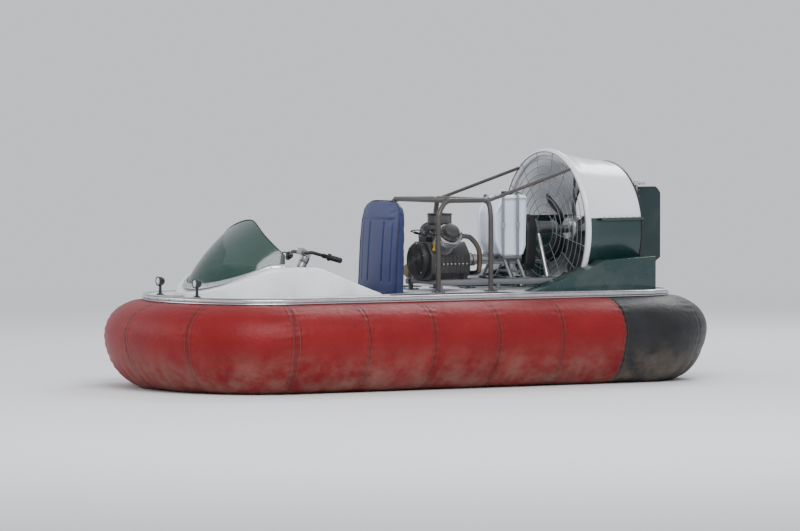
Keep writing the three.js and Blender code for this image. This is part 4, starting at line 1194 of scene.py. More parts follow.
def duct_wall(upper):
    """Inside and outside profiles, joined at the rear, turned from flange to flange."""
    outer, inner = through(OUTSIDE, 8), through(INSIDE, 8)
    profile = np.concatenate([outer, inner[::-1]])
    back, radius = profile[:, 0], profile[:, 1]
    gap = 0.0002 if upper else -0.0002
    start = np.arcsin((SPLIT_Z + gap - AXIS_Z) / radius)[None, :]
    span = (math.pi - 2 * start) if upper else -(math.pi + 2 * start)
    share = np.linspace(0, 1, 97 if upper else 121)[:, None]
    angle = start + span * share
    grid = np.stack([np.broadcast_to(DUCT_FRONT - back, angle.shape), radius * np.cos(angle),
                     AXIS_Z + radius * np.sin(angle)], axis=2)
    return closed_rows(grid)


def flange_level(radius):
    return math.sqrt(radius ** 2 - (SPLIT_Z - 0.009 - AXIS_Z) ** 2)


def flanges():
    """A level shelf each side under the split, from the lip to the rear, with its bolts."""
    outer = through(OUTSIDE[2:], 6)
    near = np.array([flange_level(radius - 0.004) for _, radius in outer])
    far = np.array([flange_level(radius + 0.021) for _, radius in outer])
    edges = [(near, -0.017), (far - 0.002, -0.017), (far, -0.014), (far, -0.003), (far - 0.003, 0.0),
             (near, 0.0)]
    shelves, spots = [], []
    for side in BOTH_SIDES:
        loops = [np.stack(np.broadcast_arrays(DUCT_FRONT - outer[:, 0], side * y, SPLIT_Z + z), axis=1)
                 for y, z in edges]
        shelves.append(closed_rows(np.stack(loops, axis=1)))
        for back in np.linspace(0.14, DUCT_LONG - 0.03, 7):
            radius = np.interp(back, outer[:, 0], outer[:, 1])
            spots.append((DUCT_FRONT - back, side * (flange_level(radius) + 0.012), SPLIT_Z))
    return fused(shelves), bolts(spots, UP, 0.0075)


shelf, shelf_bolts = flanges()
put("duct_hood_white", [(duct_wall(True), white_gelcoat)], replaces=("duct_upper",),
    crease_deg=40)
put("duct_casing_green", [(fused([duct_wall(False), shelf]), green_gelcoat), (shelf_bolts, bolt_metal)],
    replaces=("duct_lower",), crease_deg=40)

LIP = [(0.0254, 0.487), (0.0254, 0.5215), (0.022, 0.5265), (0.015, 0.5295), (0.007, 0.529), (0.0, 0.525),
       (-0.005, 0.518), (-0.0078, 0.5095), (-0.0078, 0.501), (-0.005, 0.4935), (0.001, 0.487),
       (0.010, 0.4825), (0.018, 0.484)]
REAR_TRIM = [(-0.010, 0.441), (-0.010, 0.445), (-0.002, 0.4462), (0.0035, 0.444), (0.0035, 0.408),
             (-0.002, 0.406), (-0.010, 0.4085), (-0.010, 0.4115), (0.0003, 0.4115), (0.0003, 0.441)]


def duct_ring(start, profile):
    """Turns (distance aft of start, radius) pairs about the fan's axis."""
    pairs = [(-back, radius) for back, radius in profile]
    return turned(pairs, (DUCT_FRONT - start, 0, AXIS_Z), FORE, 144, True)


put("duct_rolled_lip", [(duct_ring(0, LIP), white_gelcoat)], replaces=("duct_lip",),
    crease_deg=50)
put("duct_rear_trim", [(duct_ring(DUCT_LONG, REAR_TRIM), black_plastic)], crease_deg=50)

# %% [markdown]
# ## Fan and its guard
#
# The fan has six moulded blades. A blade is an aerofoil whose chord, pitch and thickness shrink from root to
# tip, so it twists. The guard over the intake is round wire: rings, and spokes that run out to the lip.


# %% Fan
FAN_X = -1.325             # the middle of the fan
BLADES = 6
TIP = 0.400
# Rows of radius, chord, pitch in degrees and thickness.
BLADE_ROWS = np.array([(0.060, 0.112, 50, 0.022), (0.110, 0.124, 43, 0.018), (0.200, 0.121, 34, 0.014),
                       (0.300, 0.104, 26, 0.010), (0.370, 0.088, 22, 0.008), (TIP, 0.070, 21, 0.006)])


def aerofoil(count=22):
    """Chord positions from -0.5 to 0.5 and heights of unit thickness, round the section and back."""
    t = around(count)
    along = 0.5 * np.cos(t)
    share = along + 0.5
    thick = 2.0 * np.sqrt(np.clip(share, 0, 1)) * (1 - share) ** 0.9
    camber = 0.55 * (1 - (2 * along) ** 2)
    return along, camber + np.sign(np.sin(t)) * thick * 0.62 * np.abs(np.sin(t)) ** 0.4


def blade(turn_by):
    """Aerofoils at the rows' radii, pitched and scaled, turned to their place round the hub."""
    along, up = aerofoil()
    rows = evenly(through(BLADE_ROWS, 8), 30)[0]
    radius, chord, pitch, thick = (column[:, None] for column in rows.T)
    pitch = np.radians(pitch)
    u, v = -along[None, :] * chord, up[None, :] * thick
    x = u * np.sin(pitch) + v * np.cos(pitch)
    y = u * np.cos(pitch) - v * np.sin(pitch)
    z = np.broadcast_to(radius, x.shape)
    cos, sin = math.cos(turn_by), math.sin(turn_by)
    return closed_rows(np.stack([FAN_X + x, y * cos - z * sin, AXIS_Z + y * sin + z * cos], axis=2))


SHAFT_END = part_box("shaft_housing")[0][0]
HUB_FACE = -0.062          # the hub's rear face, from the middle of the fan
shaft = SHAFT_END - HAIR - FAN_X
hub = [(HUB_FACE, 0.0), (HUB_FACE, 0.054), (-0.058, 0.062), (-0.048, 0.078), (-0.034, 0.0875),
       (0.036, 0.0875), (0.046, 0.082), (0.058, 0.070), (0.062, 0.060), (0.062, 0.028), (0.066, 0.026),
       (shaft, 0.026), (shaft, 0.0)]
turns = np.arange(BLADES) * 2 * math.pi / BLADES
hub_bolts = ring_of((FAN_X + HUB_FACE, 0, AXIS_Z), 0.042, turns)
put("fan_blades_and_hub", [
    (fused([blade(a) for a in turns]), black_plastic),
    (turned(hub, (FAN_X, 0, AXIS_Z), segments=72), cast_alloy),
    (bolts(hub_bolts, -FORE, 0.008), bolt_metal)],
    body="fan", replaces=("fan_rotor",), crease_deg=45)

# %% Intake guard
GUARD_X = DUCT_FRONT + 0.0124                  # the plane of the guard's rings


def wire_ring(radius, x, wire):
    angle = around(120)
    path = np.stack([np.full_like(angle, x), radius * np.cos(angle), AXIS_Z + radius * np.sin(angle)], axis=1)
    return pipe(path, wire, 8, ring=True)


def intake_guard():
    """Rings every 5 cm in one plane, straight spokes just behind them out to the lip, a clip on every other
    one.
    """
    wires = [wire_ring(radius, GUARD_X, 0.0022) for radius in np.arange(0.11, 0.49, 0.05)]
    wires.append(wire_ring(0.507, GUARD_X - 0.0004, 0.0030))
    middle = np.array([GUARD_X - 0.0040, 0, AXIS_Z])
    clips = []
    for i in range(16):
        angle = math.pi * (i + 0.5) / 8
        ray = np.array([0, math.cos(angle), math.sin(angle)])
        inner = 0.108 if i % 2 else 0.260          # every other spoke stops short of the middle
        wires.append(pipe([middle + ray * reach for reach in (inner, 0.35, 0.506)], 0.0024, 8))
        if i % 2:
            clips.append(middle + ray * 0.507 + FORE * 0.0065)
    return fused(wires), bolts(clips, FORE, 0.0065)


guard_wires, guard_clips = intake_guard()
put("intake_wire_guard", [(guard_wires, grey_steel), (guard_clips, bolt_metal)],
    replaces=("intake_guard",))

# %% [markdown]
# ## Rudders
#
# Three rudders hang in the fan's wind between two beams. Each is a folded sheet with a rounded leading edge
# that thins to its tail, riveted along the stock it turns on. A bar under them joins their horns.


# %% Rudders, beams and tie bar
RUDDER_X, RUDDER_LOW, RUDDER_HIGH = -1.640, 0.690, 1.246
RUDDER_Y = {"rudder_port": 0.250, "rudder_centre": 0.0, "rudder_starboard": -0.250}
RUDDER_LEAD, RUDDER_TAIL = 0.060, -0.190
PIN_REACH = 0.089          # from a rudder's stock aft to its pin in the tie bar


def rudder(name, y):
    """A side outline in X and Z, given a thickness that depends on the distance from the leading edge."""
    share = np.linspace(0, 1, 26)[:, None]
    rise = np.linspace(0, 1, 34)[None, :]
    low = (RUDDER_LOW + 0.060 * (share < 0.18) * (1 - share / 0.18)
           + 0.09 * np.clip((share - 0.48) / 0.52, 0, 1))
    high = RUDDER_HIGH - 0.040 * np.clip((share - 0.84) / 0.16, 0, 1) ** 1.5
    x = RUDDER_X + RUDDER_LEAD + (RUDDER_TAIL - RUDDER_LEAD) * share + 0 * rise
    thick = 0.0066 * np.sqrt(np.clip(share / 0.12, 0, 1)) * (1 - 0.72 * share)
    end = 1 - (2 * rise - 1) ** 24
    half = np.maximum(thick * np.sqrt(np.clip(end, 0, 1)), 0.0004)
    skin = walled(*(np.stack([x, y + way * half, low + (high - low) * rise], axis=2) for way in BOTH_SIDES))
    stock = turned([(RUDDER_LOW - 0.0115, 0.0108), (RUDDER_HIGH + 0.0115, 0.0108)], (RUDDER_X, y, 0), UP, 28)
    horn = block((RUDDER_X - PIN_REACH - 0.011, y - 0.008, RUDDER_LOW - 0.006),
                 (RUDDER_X - 0.004, y + 0.008, RUDDER_LOW + 0.0015))
    rivets = [(RUDDER_X - 0.022, y + way * 0.0052, z)
              for z in np.arange(RUDDER_LOW + 0.03, RUDDER_HIGH - 0.01, 0.042) for way in BOTH_SIDES]
    ways = [(0, 1, 0), (0, -1, 0)] * (len(rivets) // 2)
    put(f"{name}_blade", [(skin, rudder_paint), (fused([stock, horn]), cast_alloy),
                          (bolts(rivets, ways, 0.0032, 0.3), bolt_metal)],
        body=name, replaces=(name,), crease_deg=40)


for name, y in RUDDER_Y.items():
    rudder(name, y)


def beam_caps(node, name, way):
    """The beam with rounded edges, a bearing round each stock and bolts where its arms meet the duct."""
    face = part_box(node)[1 if way > 0 else 0][2]
    bearing = [(0, 0.021), (0.006, 0.021), (0.009, 0.018), (0.011, 0.007), (0.0112, 0.0)]
    caps = [turned(bearing, (RUDDER_X, y, face), UP * way, 32) for y in RUDDER_Y.values()]
    spots = [(DUCT_REAR - 0.024, side * 0.300 + dy, face) for side in BOTH_SIDES for dy in (0.012, -0.012)]
    softened(node, name, rail_alloy, 0.0022,
             extra=((fused(caps), cast_alloy), (bolts(spots, UP * way, 0.0065), bolt_metal)))


beam_caps("rudder_beam_top", "rudder_top_beam", 1)
beam_caps("rudder_beam_bottom", "rudder_foot_beam", -1)

bar_low, bar_high = np.array(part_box("rudder_tie_bar"))
pin_heads = [((bar_low[0] + bar_high[0]) / 2, y, bar_low[2]) for y in RUDDER_Y.values()]
softened("rudder_tie_bar", "rudder_link_bar", rail_alloy, 0.0016, body="tie_bar",
         extra=((bolts(pin_heads, -UP, 0.0085), bolt_metal),))

# %% [markdown]
# ## Seat
#
# The seat is foam in a sewn vinyl cover. A cover is cut from flat panels, so it bulges most in the middle of
# each panel and is held in at its seams. That is what a cloth simulation with air pressure gives: the closed
# form is remeshed evenly, its seam lines are pinned, and air pushes the rest out. The sewn channels and the
# piping come afterwards, because they are finer than the remeshed grid.


# %% Inflating a cover
def sections(rows, count=96, square=7.0):
    """Level loops, each a rounded rectangle by the superellipse formula, from rows of sizes."""
    z, x_low, x_high, half = (column[:, None] for column in np.asarray(rows).T)
    angle = around(count)[None, :]
    bend = lambda wave: np.sign(wave) * np.abs(wave) ** (2 / square)
    x = (x_low + x_high) / 2 + (x_high - x_low) / 2 * bend(np.cos(angle))
    y = half * bend(np.sin(angle))
    return closed_rows(np.stack([x, y, np.broadcast_to(z, x.shape)], axis=2))


def vertex_places(mesh):
    places = np.empty(len(mesh.vertices) * 3)
    mesh.vertices.foreach_get("co", places)
    return places.reshape(-1, 3)


def evaluated_copy(piece):
    return bpy.data.meshes.new_from_object(piece.evaluated_get(bpy.context.evaluated_depsgraph_get()))


def inflated(name, form, voxel, cap, pinned, box):
    """Remesh, blow up with Cloth, hold each point near its start and inside the box, subdivide once."""
    mesh = bpy.data.meshes.new(name)
    mesh.from_pydata(form.points.tolist(), [], form.faces)
    piece = bpy.data.objects.new(name, mesh)
    bpy.context.scene.collection.objects.link(piece)
    remesh = piece.modifiers.new("even", "REMESH")
    remesh.mode = "VOXEL"
    remesh.voxel_size = voxel
    even = evaluated_copy(piece)
    piece.modifiers.clear()
    piece.data = even
    start = vertex_places(even)
    end = start
    held = piece.vertex_groups.new(name="seams")
    held.add(np.flatnonzero(pinned(start)).tolist(), 1.0, "REPLACE")
    air = piece.modifiers.new("air", "CLOTH")
    air.settings.use_pressure = True
    air.settings.uniform_pressure_force = 4.0
    air.settings.effector_weights.gravity = 0
    air.settings.vertex_group_mass = "seams"
    air.settings.bending_stiffness = 2.0
    for step in range(1, 21):
        bpy.context.scene.frame_set(step)
    end = vertex_places(evaluated_copy(piece))
    piece.modifiers.clear()
    bpy.context.scene.frame_set(1)
    move = end - start
    reach = np.linalg.norm(move, axis=1)[:, None]
    settled = np.clip(start + move * np.minimum(1, cap / np.maximum(reach, 1e-9)), box[0], box[1])
    even.vertices.foreach_set("co", settled.ravel())
    smooth = piece.modifiers.new("fine", "SUBSURF")
    smooth.levels = smooth.render_levels = 1
    fine = evaluated_copy(piece)
    piece.modifiers.clear()
    piece.data = fine
    print(name, "swelled by up to", round(float(reach.max()) * 1000, 1), "mm,", len(fine.polygons), "faces")
    return piece


def upholstered(piece, node, relief):
    """Presses the sewn lines into a swollen cover, and gives it its finish and its place in the frame."""
    mesh = piece.data
    places = vertex_places(mesh)
    normals = np.empty(len(mesh.vertices) * 3)
    mesh.vertices.foreach_get("normal", normals)
    places += normals.reshape(-1, 3) * relief(places)[:, None]
    mesh.vertices.foreach_set("co", places.ravel())
    mesh.materials.clear()
    mesh.materials.append(seat_vinyl)
    mesh.shade_smooth()
    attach(piece, "hull")
    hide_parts(node)


# %% Seat cushion and back
CHANNEL_Y = 0.088          # from the middle to the first sewn channel


def groove(distance, depth=0.0075):
    return -depth * bell(distance, 0.0062)


cushion_low, cushion_high = np.array(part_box("seat_cushion"))
C_X0, _, C_Z0 = cushion_low
C_X1, C_HALF, C_Z1 = cushion_high
CUSHION_SEAM = C_Z1 - 0.026
cushion_insets = [                              # height, then how far in from the aft, fore and side faces
    (C_Z0 + 0.001, 0.016, 0.018, 0.018), (C_Z0 + 0.006, 0.009, 0.012, 0.010),
    (C_Z0 + 0.050, 0.007, 0.009, 0.008), (C_Z1 - 0.030, 0.007, 0.008, 0.007),
    (C_Z1 - 0.022, 0.009, 0.012, 0.010), (C_Z1 - 0.018, 0.020, 0.026, 0.022)]
cushion_rows = [(z, C_X0 + aft, C_X1 - fore, C_HALF - side) for z, aft, fore, side in cushion_insets]


def cushion_pins(p):
    return (np.abs(p[:, 2] - CUSHION_SEAM) < 0.005) | (p[:, 2] < C_Z0 + 0.006)


def cushion_relief(p):
    x, y, z = p[:, 0], np.abs(p[:, 1]), p[:, 2]
    on_top = np.clip((z - CUSHION_SEAM) / 0.008, 0, 1)
    inside = np.clip((x - C_X0 - 0.03) / 0.02, 0, 1) * np.clip((C_X1 - 0.045 - x) / 0.02, 0, 1)
    between = np.cos((y % CHANNEL_Y) / CHANNEL_Y * 2 * math.pi)
    lines = groove(y - CHANNEL_Y) + groove(y - 2 * CHANNEL_Y, 0.006)
    return on_top * inside * (lines - 0.0012 * between)


cushion = inflated("seat_cushion_cover", sections(cushion_rows), 0.007, 0.016, cushion_pins,
                   (cushion_low + (0, 0, 0.0002), cushion_high + (0.004, 0.0, 0.008)))
upholstered(cushion, "seat_cushion", cushion_relief)

back_low, back_high = np.array(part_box("seat_back"))
B_HALF, B_Z0 = back_high[1], back_low[2]
BACK_SIDE = np.array([                          # height, rear face, front face, half-width
    (B_Z0 + 0.001, 0.104, 0.183, B_HALF - 0.020), (B_Z0 + 0.010, 0.099, 0.188, B_HALF - 0.008),
    (B_Z0 + 0.100, 0.096, 0.186, B_HALF - 0.006), (0.900, 0.084, 0.171, B_HALF - 0.006),
    (1.040, 0.080, 0.159, B_HALF - 0.010), (1.110, 0.079, 0.150, B_HALF - 0.026),
    (1.142, 0.081, 0.143, B_HALF - 0.052), (1.158, 0.087, 0.134, B_HALF - 0.085),
    (1.163, 0.097, 0.125, B_HALF - 0.120)])
back_rows = evenly(through(BACK_SIDE, 6), 60)[0]


def back_shape(z):
    """Front face and half-width of the seat's back at a height."""
    return looked_up(z, BACK_SIDE[:, 0], BACK_SIDE[:, 2:]).T


def back_pins(p):
    front, half = back_shape(p[:, 2])
    seam = np.abs(p[:, 0] - (front - 0.016)) < 0.005
    return (seam & ((np.abs(p[:, 1]) > half - 0.012) | (p[:, 2] > 1.15))) | (p[:, 2] < B_Z0 + 0.008)


def back_relief(p):
    x, y, z = p[:, 0], np.abs(p[:, 1]), p[:, 2]
    on_front = np.clip((x - (back_shape(z)[0] - 0.008)) / 0.008, 0, 1)
    inside = np.clip((z - 0.64) / 0.02, 0, 1) * np.clip((1.045 - z) / 0.015, 0, 1)
    lines = groove(y - CHANNEL_Y) + groove(y - 0.185, 0.006)
    across = groove(z - 1.05) * np.clip((0.205 - y) / 0.01, 0, 1)
    return on_front * (inside * lines + across)


back = inflated("seat_back_cover", sections(back_rows, square=5.0), 0.008, 0.016, back_pins,
                (back_low + (-0.006, 0, 0), back_high + (0.012, 0.0, 0.008)))
upholstered(back, "seat_back", back_relief)

# %% Piping and seat base
cushion_loop = sections([(CUSHION_SEAM, C_X0 + 0.007, C_X1 - 0.009, C_HALF - 0.007)], 160).points
cushion_cord = pipe(cushion_loop, 0.0036, 8, ring=True)
side_z = np.linspace(B_Z0 + 0.02, 1.150, 44)
side_front, side_half = back_shape(side_z)
port_side = np.column_stack([side_front - 0.016, side_half - 0.0005, side_z])
star_side = port_side * (1, -1, 1)
crown = through([port_side[-1], (0.118, 0.130, 1.1645), (0.116, 0.0, 1.1675), (0.118, -0.130, 1.1645),
                 star_side[-1]], 8)
back_cord = pipe(np.concatenate([port_side[:-1], crown, star_side[-2::-1]]), 0.0036, 8)
put("seat_piping", [(fused([cushion_cord, back_cord]), black_plastic)])
softened("seat_base", "seat_box", hull_gelcoat, 0.010, segments=3)

# %% [markdown]
# ## Steering
#
# The driver turns a handlebar on a post that leans aft. The bar is one bent tube with a clamp at its middle,
# ribbed rubber grips, and two pivoted levers. The post stands in a flanged foot with a rubber boot.


# %% Handlebar and post
PIVOT = np.array([0.700, 0.0, 0.800])
TILT = 0.5                 # how far the post leans aft, in radians
STEER_UP = np.array([-math.sin(TILT), 0.0, math.cos(TILT)])
STEER_FORE = np.array([math.cos(TILT), 0.0, math.sin(TILT)])


def on_bar(reach, y, rise=0.0):
    return PIVOT + STEER_UP * (0.034 + rise) + STEER_FORE * reach + np.array([0.0, y, 0.0])


def grip(side):
    """A rubber sleeve with ribs and a flange, carried along the bar's straight end."""
    start, end = on_bar(-0.019, side * 0.258), on_bar(-0.061, side * 0.347)
    length = np.linalg.norm(end - start)
    profile = [(0, 0.0125), (0, 0.024), (0.004, 0.0245), (0.007, 0.019)]
    for x in np.arange(0.010, length - 0.012, 0.0065):
        profile += [(x, 0.0165), (x + 0.0015, 0.0178), (x + 0.0045, 0.0178), (x + 0.006, 0.0165)]
    profile += [(length - 0.006, 0.0185), (length, 0.016), (length + 0.001, 0.0)]
    return turned(profile, start, end - start, 28)


def lever(side, reach):
    """A pivot block on the bar and a flat blade that follows the grip."""
    path = through([on_bar(0.014, side * 0.212, -0.004), on_bar(0.030, side * 0.235, -0.006),
                    on_bar(0.028 + reach, side * 0.285, -0.008),
                    on_bar(0.014 + reach, side * 0.335, -0.010)], 8)
    thick = np.interp(np.linspace(0, 1, len(path)), [0, 0.15, 0.92, 1], [0.0055, 0.0045, 0.0042, 0.0058])
    way = on_bar(-0.015, side * 0.25) - on_bar(0.04, side * 0.12)
    holder = turned([(-0.012, 0.0), (-0.012, 0.015), (0.012, 0.015), (0.012, 0.0)],
                    on_bar(-0.006, side * 0.222), way, 24)
    return [pipe(path, thick, 10), holder]


BAR_HALF = [(-0.060, 0.345), (-0.015, 0.250), (0.040, 0.120), (0.022, 0.030)]   # reach and distance to port
bar_points = [on_bar(reach, y) for reach, y in BAR_HALF] + [on_bar(reach, -y) for reach, y in BAR_HALF[::-1]]
tube = pipe(rounded_path(bar_points, 0.03), 0.0112, 20)
clamp = turned([(-0.0575, 0.0), (-0.0575, 0.027), (-0.052, 0.030), (-0.018, 0.030), (-0.014, 0.026),
                (0.004, 0.025), (0.014, 0.022), (0.016, 0.0)], on_bar(0, 0), STEER_UP, 40)
cap = block((-0.014, -0.030, -0.016), (0.058, 0.030, 0.019))
cap.points = on_bar(0, 0) + cap.points @ np.array([STEER_FORE, (0.0, 1.0, 0.0), STEER_UP])
cap_bolts = [on_bar(reach, y, 0.019) for reach in (-0.003, 0.047) for y in (-0.020, 0.020)]
put("handlebar_tube", [
    (tube, black_steel), (fused([clamp, cap]), cast_alloy),
    (fused([grip(1), grip(-1), *lever(1, 0.004), *lever(-1, 0.0)]), black_plastic),
    (bolts(cap_bolts, STEER_UP, 0.005), bolt_metal)],
    body="handlebar", replaces=("handlebar",), crease_deg=40)

MAT_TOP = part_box("floor_mat")[1][2]
PLATE_LOW, PLATE_HIGH = MAT_TOP + HAIR, MAT_TOP + 0.009
post_run = (PIVOT[2] - PLATE_LOW) / math.cos(TILT)
post_foot = PIVOT - STEER_UP * post_run
boot = [(0.0, 0.040)]
for k in range(6):
    boot += [(0.006 + 0.012 * k, 0.043 - 0.0025 * k), (0.012 + 0.012 * k, 0.034 - 0.0022 * k)]
boot += [(0.082, 0.0255), (0.082, 0.0)]
plate_line = rounded_rectangle(post_foot[0] - 0.055, post_foot[0] + 0.045, 0.060, 0.012)
plate_outline = plate_line.at(np.linspace(0, plate_line.length, 60, endpoint=False))[0]
post = turned([(0.012, 0.0235), (post_run - 0.028, 0.0235)], post_foot, STEER_UP, 40)
collar = turned([(post_run - 0.060, 0.0235), (post_run - 0.060, 0.0285), (post_run - 0.026, 0.0285),
                 (post_run - 0.0255, 0.0235)], post_foot, STEER_UP, 40)
BRACE_Z, DASH_REAR = 0.617, 0.9616
brace_x = PIVOT[0] + (PIVOT[2] - BRACE_Z) * math.tan(TILT)
brace = block((brace_x - 0.010, -0.021, BRACE_Z - 0.008), (DASH_REAR, 0.021, BRACE_Z + 0.008))
plate_bolts = [(post_foot[0] + dx, dy, PLATE_HIGH) for dx in (-0.043, 0.033) for dy in (-0.046, 0.046)]
put("steering_post", [
    (fused([post, prism(plate_outline, PLATE_LOW, PLATE_HIGH), brace]), grey_steel), (collar, cast_alloy),
    (turned(boot, post_foot + STEER_UP * 0.012, STEER_UP, 40), black_plastic),
    (bolts(plate_bolts, UP, 0.006), bolt_metal)],
    replaces=("steering_column",), crease_deg=40)

# %% [markdown]
# ## Engine
#
# The engine is a flat twin on a tube subframe behind the seat. The castings get rounded edges, a ribbed
# sump, a pull starter and bolted covers. The cylinders are turned, with many thin fins, and each has a
# rocker cover, a plug with its lead and an exhaust pipe that bends down to the silencer.


# %% Crankcase and covers
BLOCK_AFT, BLOCK_FORE = -0.440, -0.150
CRANK_Z = 0.780                                 # height of the crankshaft
STARTER_X = BLOCK_FORE + 0.045
RAIL_TOP = 0.6594                               # top of the subframe's rails
SHAFT_AFT = -0.898                              # rear end of the crank's shaft, inside the belt cover

starter = [(-0.046, 0.0), (-0.046, 0.120), (-0.030, 0.1195), (-0.012, 0.113), (-0.004, 0.106), (0.0, 0.096)]
for r in np.arange(0.086, 0.030, -0.012):
    starter += [(0.0, r + 0.004), (-0.0035, r + 0.002), (-0.0035, r - 0.002), (0.0, r - 0.004)]
starter += [(0.0, 0.024), (0.006, 0.021), (0.007, 0.0)]
collars = [(SHAFT_AFT, 0.0), (SHAFT_AFT, 0.034)]
for at in (-0.800, -0.540):
    collars += [(at - 0.015, 0.034), (at - 0.010, 0.042), (at + 0.010, 0.042), (at + 0.015, 0.034)]
collars += [(BLOCK_AFT - 0.040, 0.034), (BLOCK_AFT - 0.025, 0.060), (BLOCK_AFT + 0.005, 0.066),
            (BLOCK_AFT + 0.005, 0.0)]

CASE_SIDE = 0.1525
HALF_CASE = np.array([                          # distance from the middle and height, from the sump upwards
    (0.104, 0.6544), (0.110, 0.658), (0.148, 0.697), (0.150, 0.703), (0.150, 0.816), (0.148, 0.821),
    (0.083, 0.897), (0.078, 0.900)])
RIB = [(0.1085, 0.660), (CASE_SIDE, 0.6985), (CASE_SIDE, 0.812), (0.1485, 0.812), (0.148, 0.702),
       (0.106, 0.664)]
case_loop = np.concatenate([HALF_CASE, HALF_CASE[::-1] * (-1, 1)])
case_middle = np.array([0.0, CRANK_Z])
case_ends = [(BLOCK_AFT, 0.955), (BLOCK_AFT + 0.004, 0.985), (BLOCK_AFT + 0.010, 1.0),
             (BLOCK_FORE - 0.010, 1.0), (BLOCK_FORE - 0.004, 0.985), (BLOCK_FORE, 0.955)]
case = closed_rows(np.stack([np.insert(case_middle + (case_loop - case_middle) * size, 0, x, axis=1)
                             for x, size in case_ends]))
ribs = [prism([(side * y, z) for y, z in RIB], x - 0.003, x + 0.003, "X")
        for x in np.linspace(BLOCK_AFT + 0.045, BLOCK_FORE - 0.045, 8) for side in BOTH_SIDES]
ribs.append(block((BLOCK_AFT + 0.012, -CASE_SIDE, 0.752), (BLOCK_FORE - 0.012, CASE_SIDE, 0.764)))
case_bolts = [(x, side * CASE_SIDE, 0.758) for x in np.linspace(BLOCK_AFT + 0.03, BLOCK_FORE - 0.03, 9)
              for side in BOTH_SIDES]
case_ways = [(0, 1, 0), (0, -1, 0)] * 9
front_bolts = ring_of((STARTER_X - 0.004, 0, CRANK_Z), 0.112, 0.3 + np.arange(6) * math.pi / 3)
dipstick = turned([(0, 0.013), (0.012, 0.013), (0.014, 0.010), (0.040, 0.0085), (0.042, 0.012),
                   (0.052, 0.012), (0.054, 0.009)], (BLOCK_FORE - 0.030, 0.125, 0.846), (0.0, 0.30, 0.95), 24)
put("engine_castings", [
    (fused([case, *ribs]), engine_metal),
    (turned(starter, (STARTER_X, 0, CRANK_Z), segments=72), black_plastic),
    (turned(collars, (0, 0, CRANK_Z), segments=48), cast_alloy), (dipstick, dipstick_yellow),
    (fused([bolts(case_bolts, case_ways, 0.006), bolts(front_bolts, FORE, 0.005)]), bolt_metal)],
    replaces=("engine_block",), crease_deg=35)

# %% Cylinders
SHOULDER_LOW, SHOULDER_HIGH = np.array([0.150, 0.820]), np.array([0.080, 0.900])   # the slanted top
lean = math.atan2(*(SHOULDER_HIGH - SHOULDER_LOW)[::-1] * (1, -1))
BORE_LONG, FIN_R, BARREL_R = 0.190, 0.082, 0.066
PORT_ALONG, PORT_REACH = 0.120, 0.084
FILTER_X, FILTER_Z = -0.295, 1.044


def cylinder(side_name, x, side):
    """Base flange, fins, head and rocker cover along the bore's axis, which leans out from the crankcase."""
    way = np.array([0.0, side * math.sin(lean), math.cos(lean)])
    seat_y, seat_z = (SHOULDER_LOW + SHOULDER_HIGH) / 2
    base = np.array([x, side * seat_y, seat_z]) + way * HAIR
    fins = [(0.0, 0.0), (0.0, 0.0575), (0.006, 0.0575), (0.006, 0.046)]
    for at in np.arange(0.012, 0.140, 0.0082):
        reach = BARREL_R if at < 0.088 else FIN_R
        fins += [(at, 0.047), (at + 0.0008, reach - 0.001), (at + 0.0014, reach), (at + 0.0024, reach),
                 (at + 0.0030, reach - 0.001), (at + 0.0038, 0.047)]
    fins += [(0.144, 0.046), (0.146, 0.062), (0.150, 0.063), (0.150, 0.0)]
    cover = [(0.1505, 0.0), (0.1505, 0.064), (0.155, 0.0665), (0.159, 0.064), (0.160, 0.056), (0.181, 0.0535),
             (0.187, 0.050), (BORE_LONG, 0.043), (BORE_LONG, 0.0)]
    _, across, up = frame_of(way)
    spots = [base + way * 0.158 + 0.059 * (across * math.cos(a) + up * math.sin(a))
             for a in np.arange(6) * math.pi / 3]
    port = base + way * PORT_ALONG
    plug = turned([(0.0, 0.009), (0.016, 0.009), (0.017, 0.0065), (0.034, 0.0062), (0.036, 0.009),
                   (0.060, 0.009), (0.063, 0.007)], port + FORE * 0.058, FORE + way * 0.35, 20)
    outlet = turned([(0.0, 0.0), (0.0, 0.022), (PORT_REACH - 0.012, 0.022), (PORT_REACH - 0.008, 0.028),
                     (PORT_REACH, 0.028), (PORT_REACH, 0.0)], port, -FORE, 32)
    put(f"cylinder_finned_{side_name}", [
        (fused([turned(fins, base, way, 64), outlet]), cast_alloy),
        (turned(cover, base, way, 56), engine_metal),
        (plug, black_plastic), (bolts(spots, way, 0.0055), bolt_metal)],
        replaces=(f"cylinder_{side_name}",), crease_deg=30)
    return port, way


port_outlet, port_way = cylinder("port", FILTER_X + 0.055, 1)
star_outlet, star_way = cylinder("starboard", FILTER_X - 0.055, -1)

# %% Exhaust, air filter and leads
SILENCER_Y, SILENCER_Z, CAN_AFT, CAN_FORE = -0.272, 0.705, -0.570, -0.200
CAN_END = [(0.0, 0.0), (0.0, 0.036), (0.006, 0.041), (0.020, 0.0515), (0.026, 0.0535), (0.030, 0.052)]
CROSS_X, CROSS_Z = -0.486, 0.697                # where the port pipe crosses behind the crankcase
can = [(CAN_AFT + at, radius) for at, radius in CAN_END]
for x in np.linspace(CAN_AFT + 0.09, CAN_FORE - 0.09, 3):
    can += [(x - 0.004, 0.052), (x - 0.002, 0.0532), (x + 0.002, 0.0532), (x + 0.004, 0.052)]
can += [(CAN_FORE - at, radius) for at, radius in CAN_END[::-1]]
tail = pipe(through([(CAN_AFT + 0.018, SILENCER_Y, 0.705), (CAN_AFT - 0.025, SILENCER_Y - 0.030, 0.709),
                     (-0.650, -0.380, 0.720), (-0.690, -0.420, 0.725)], 10), 0.0205, 24)


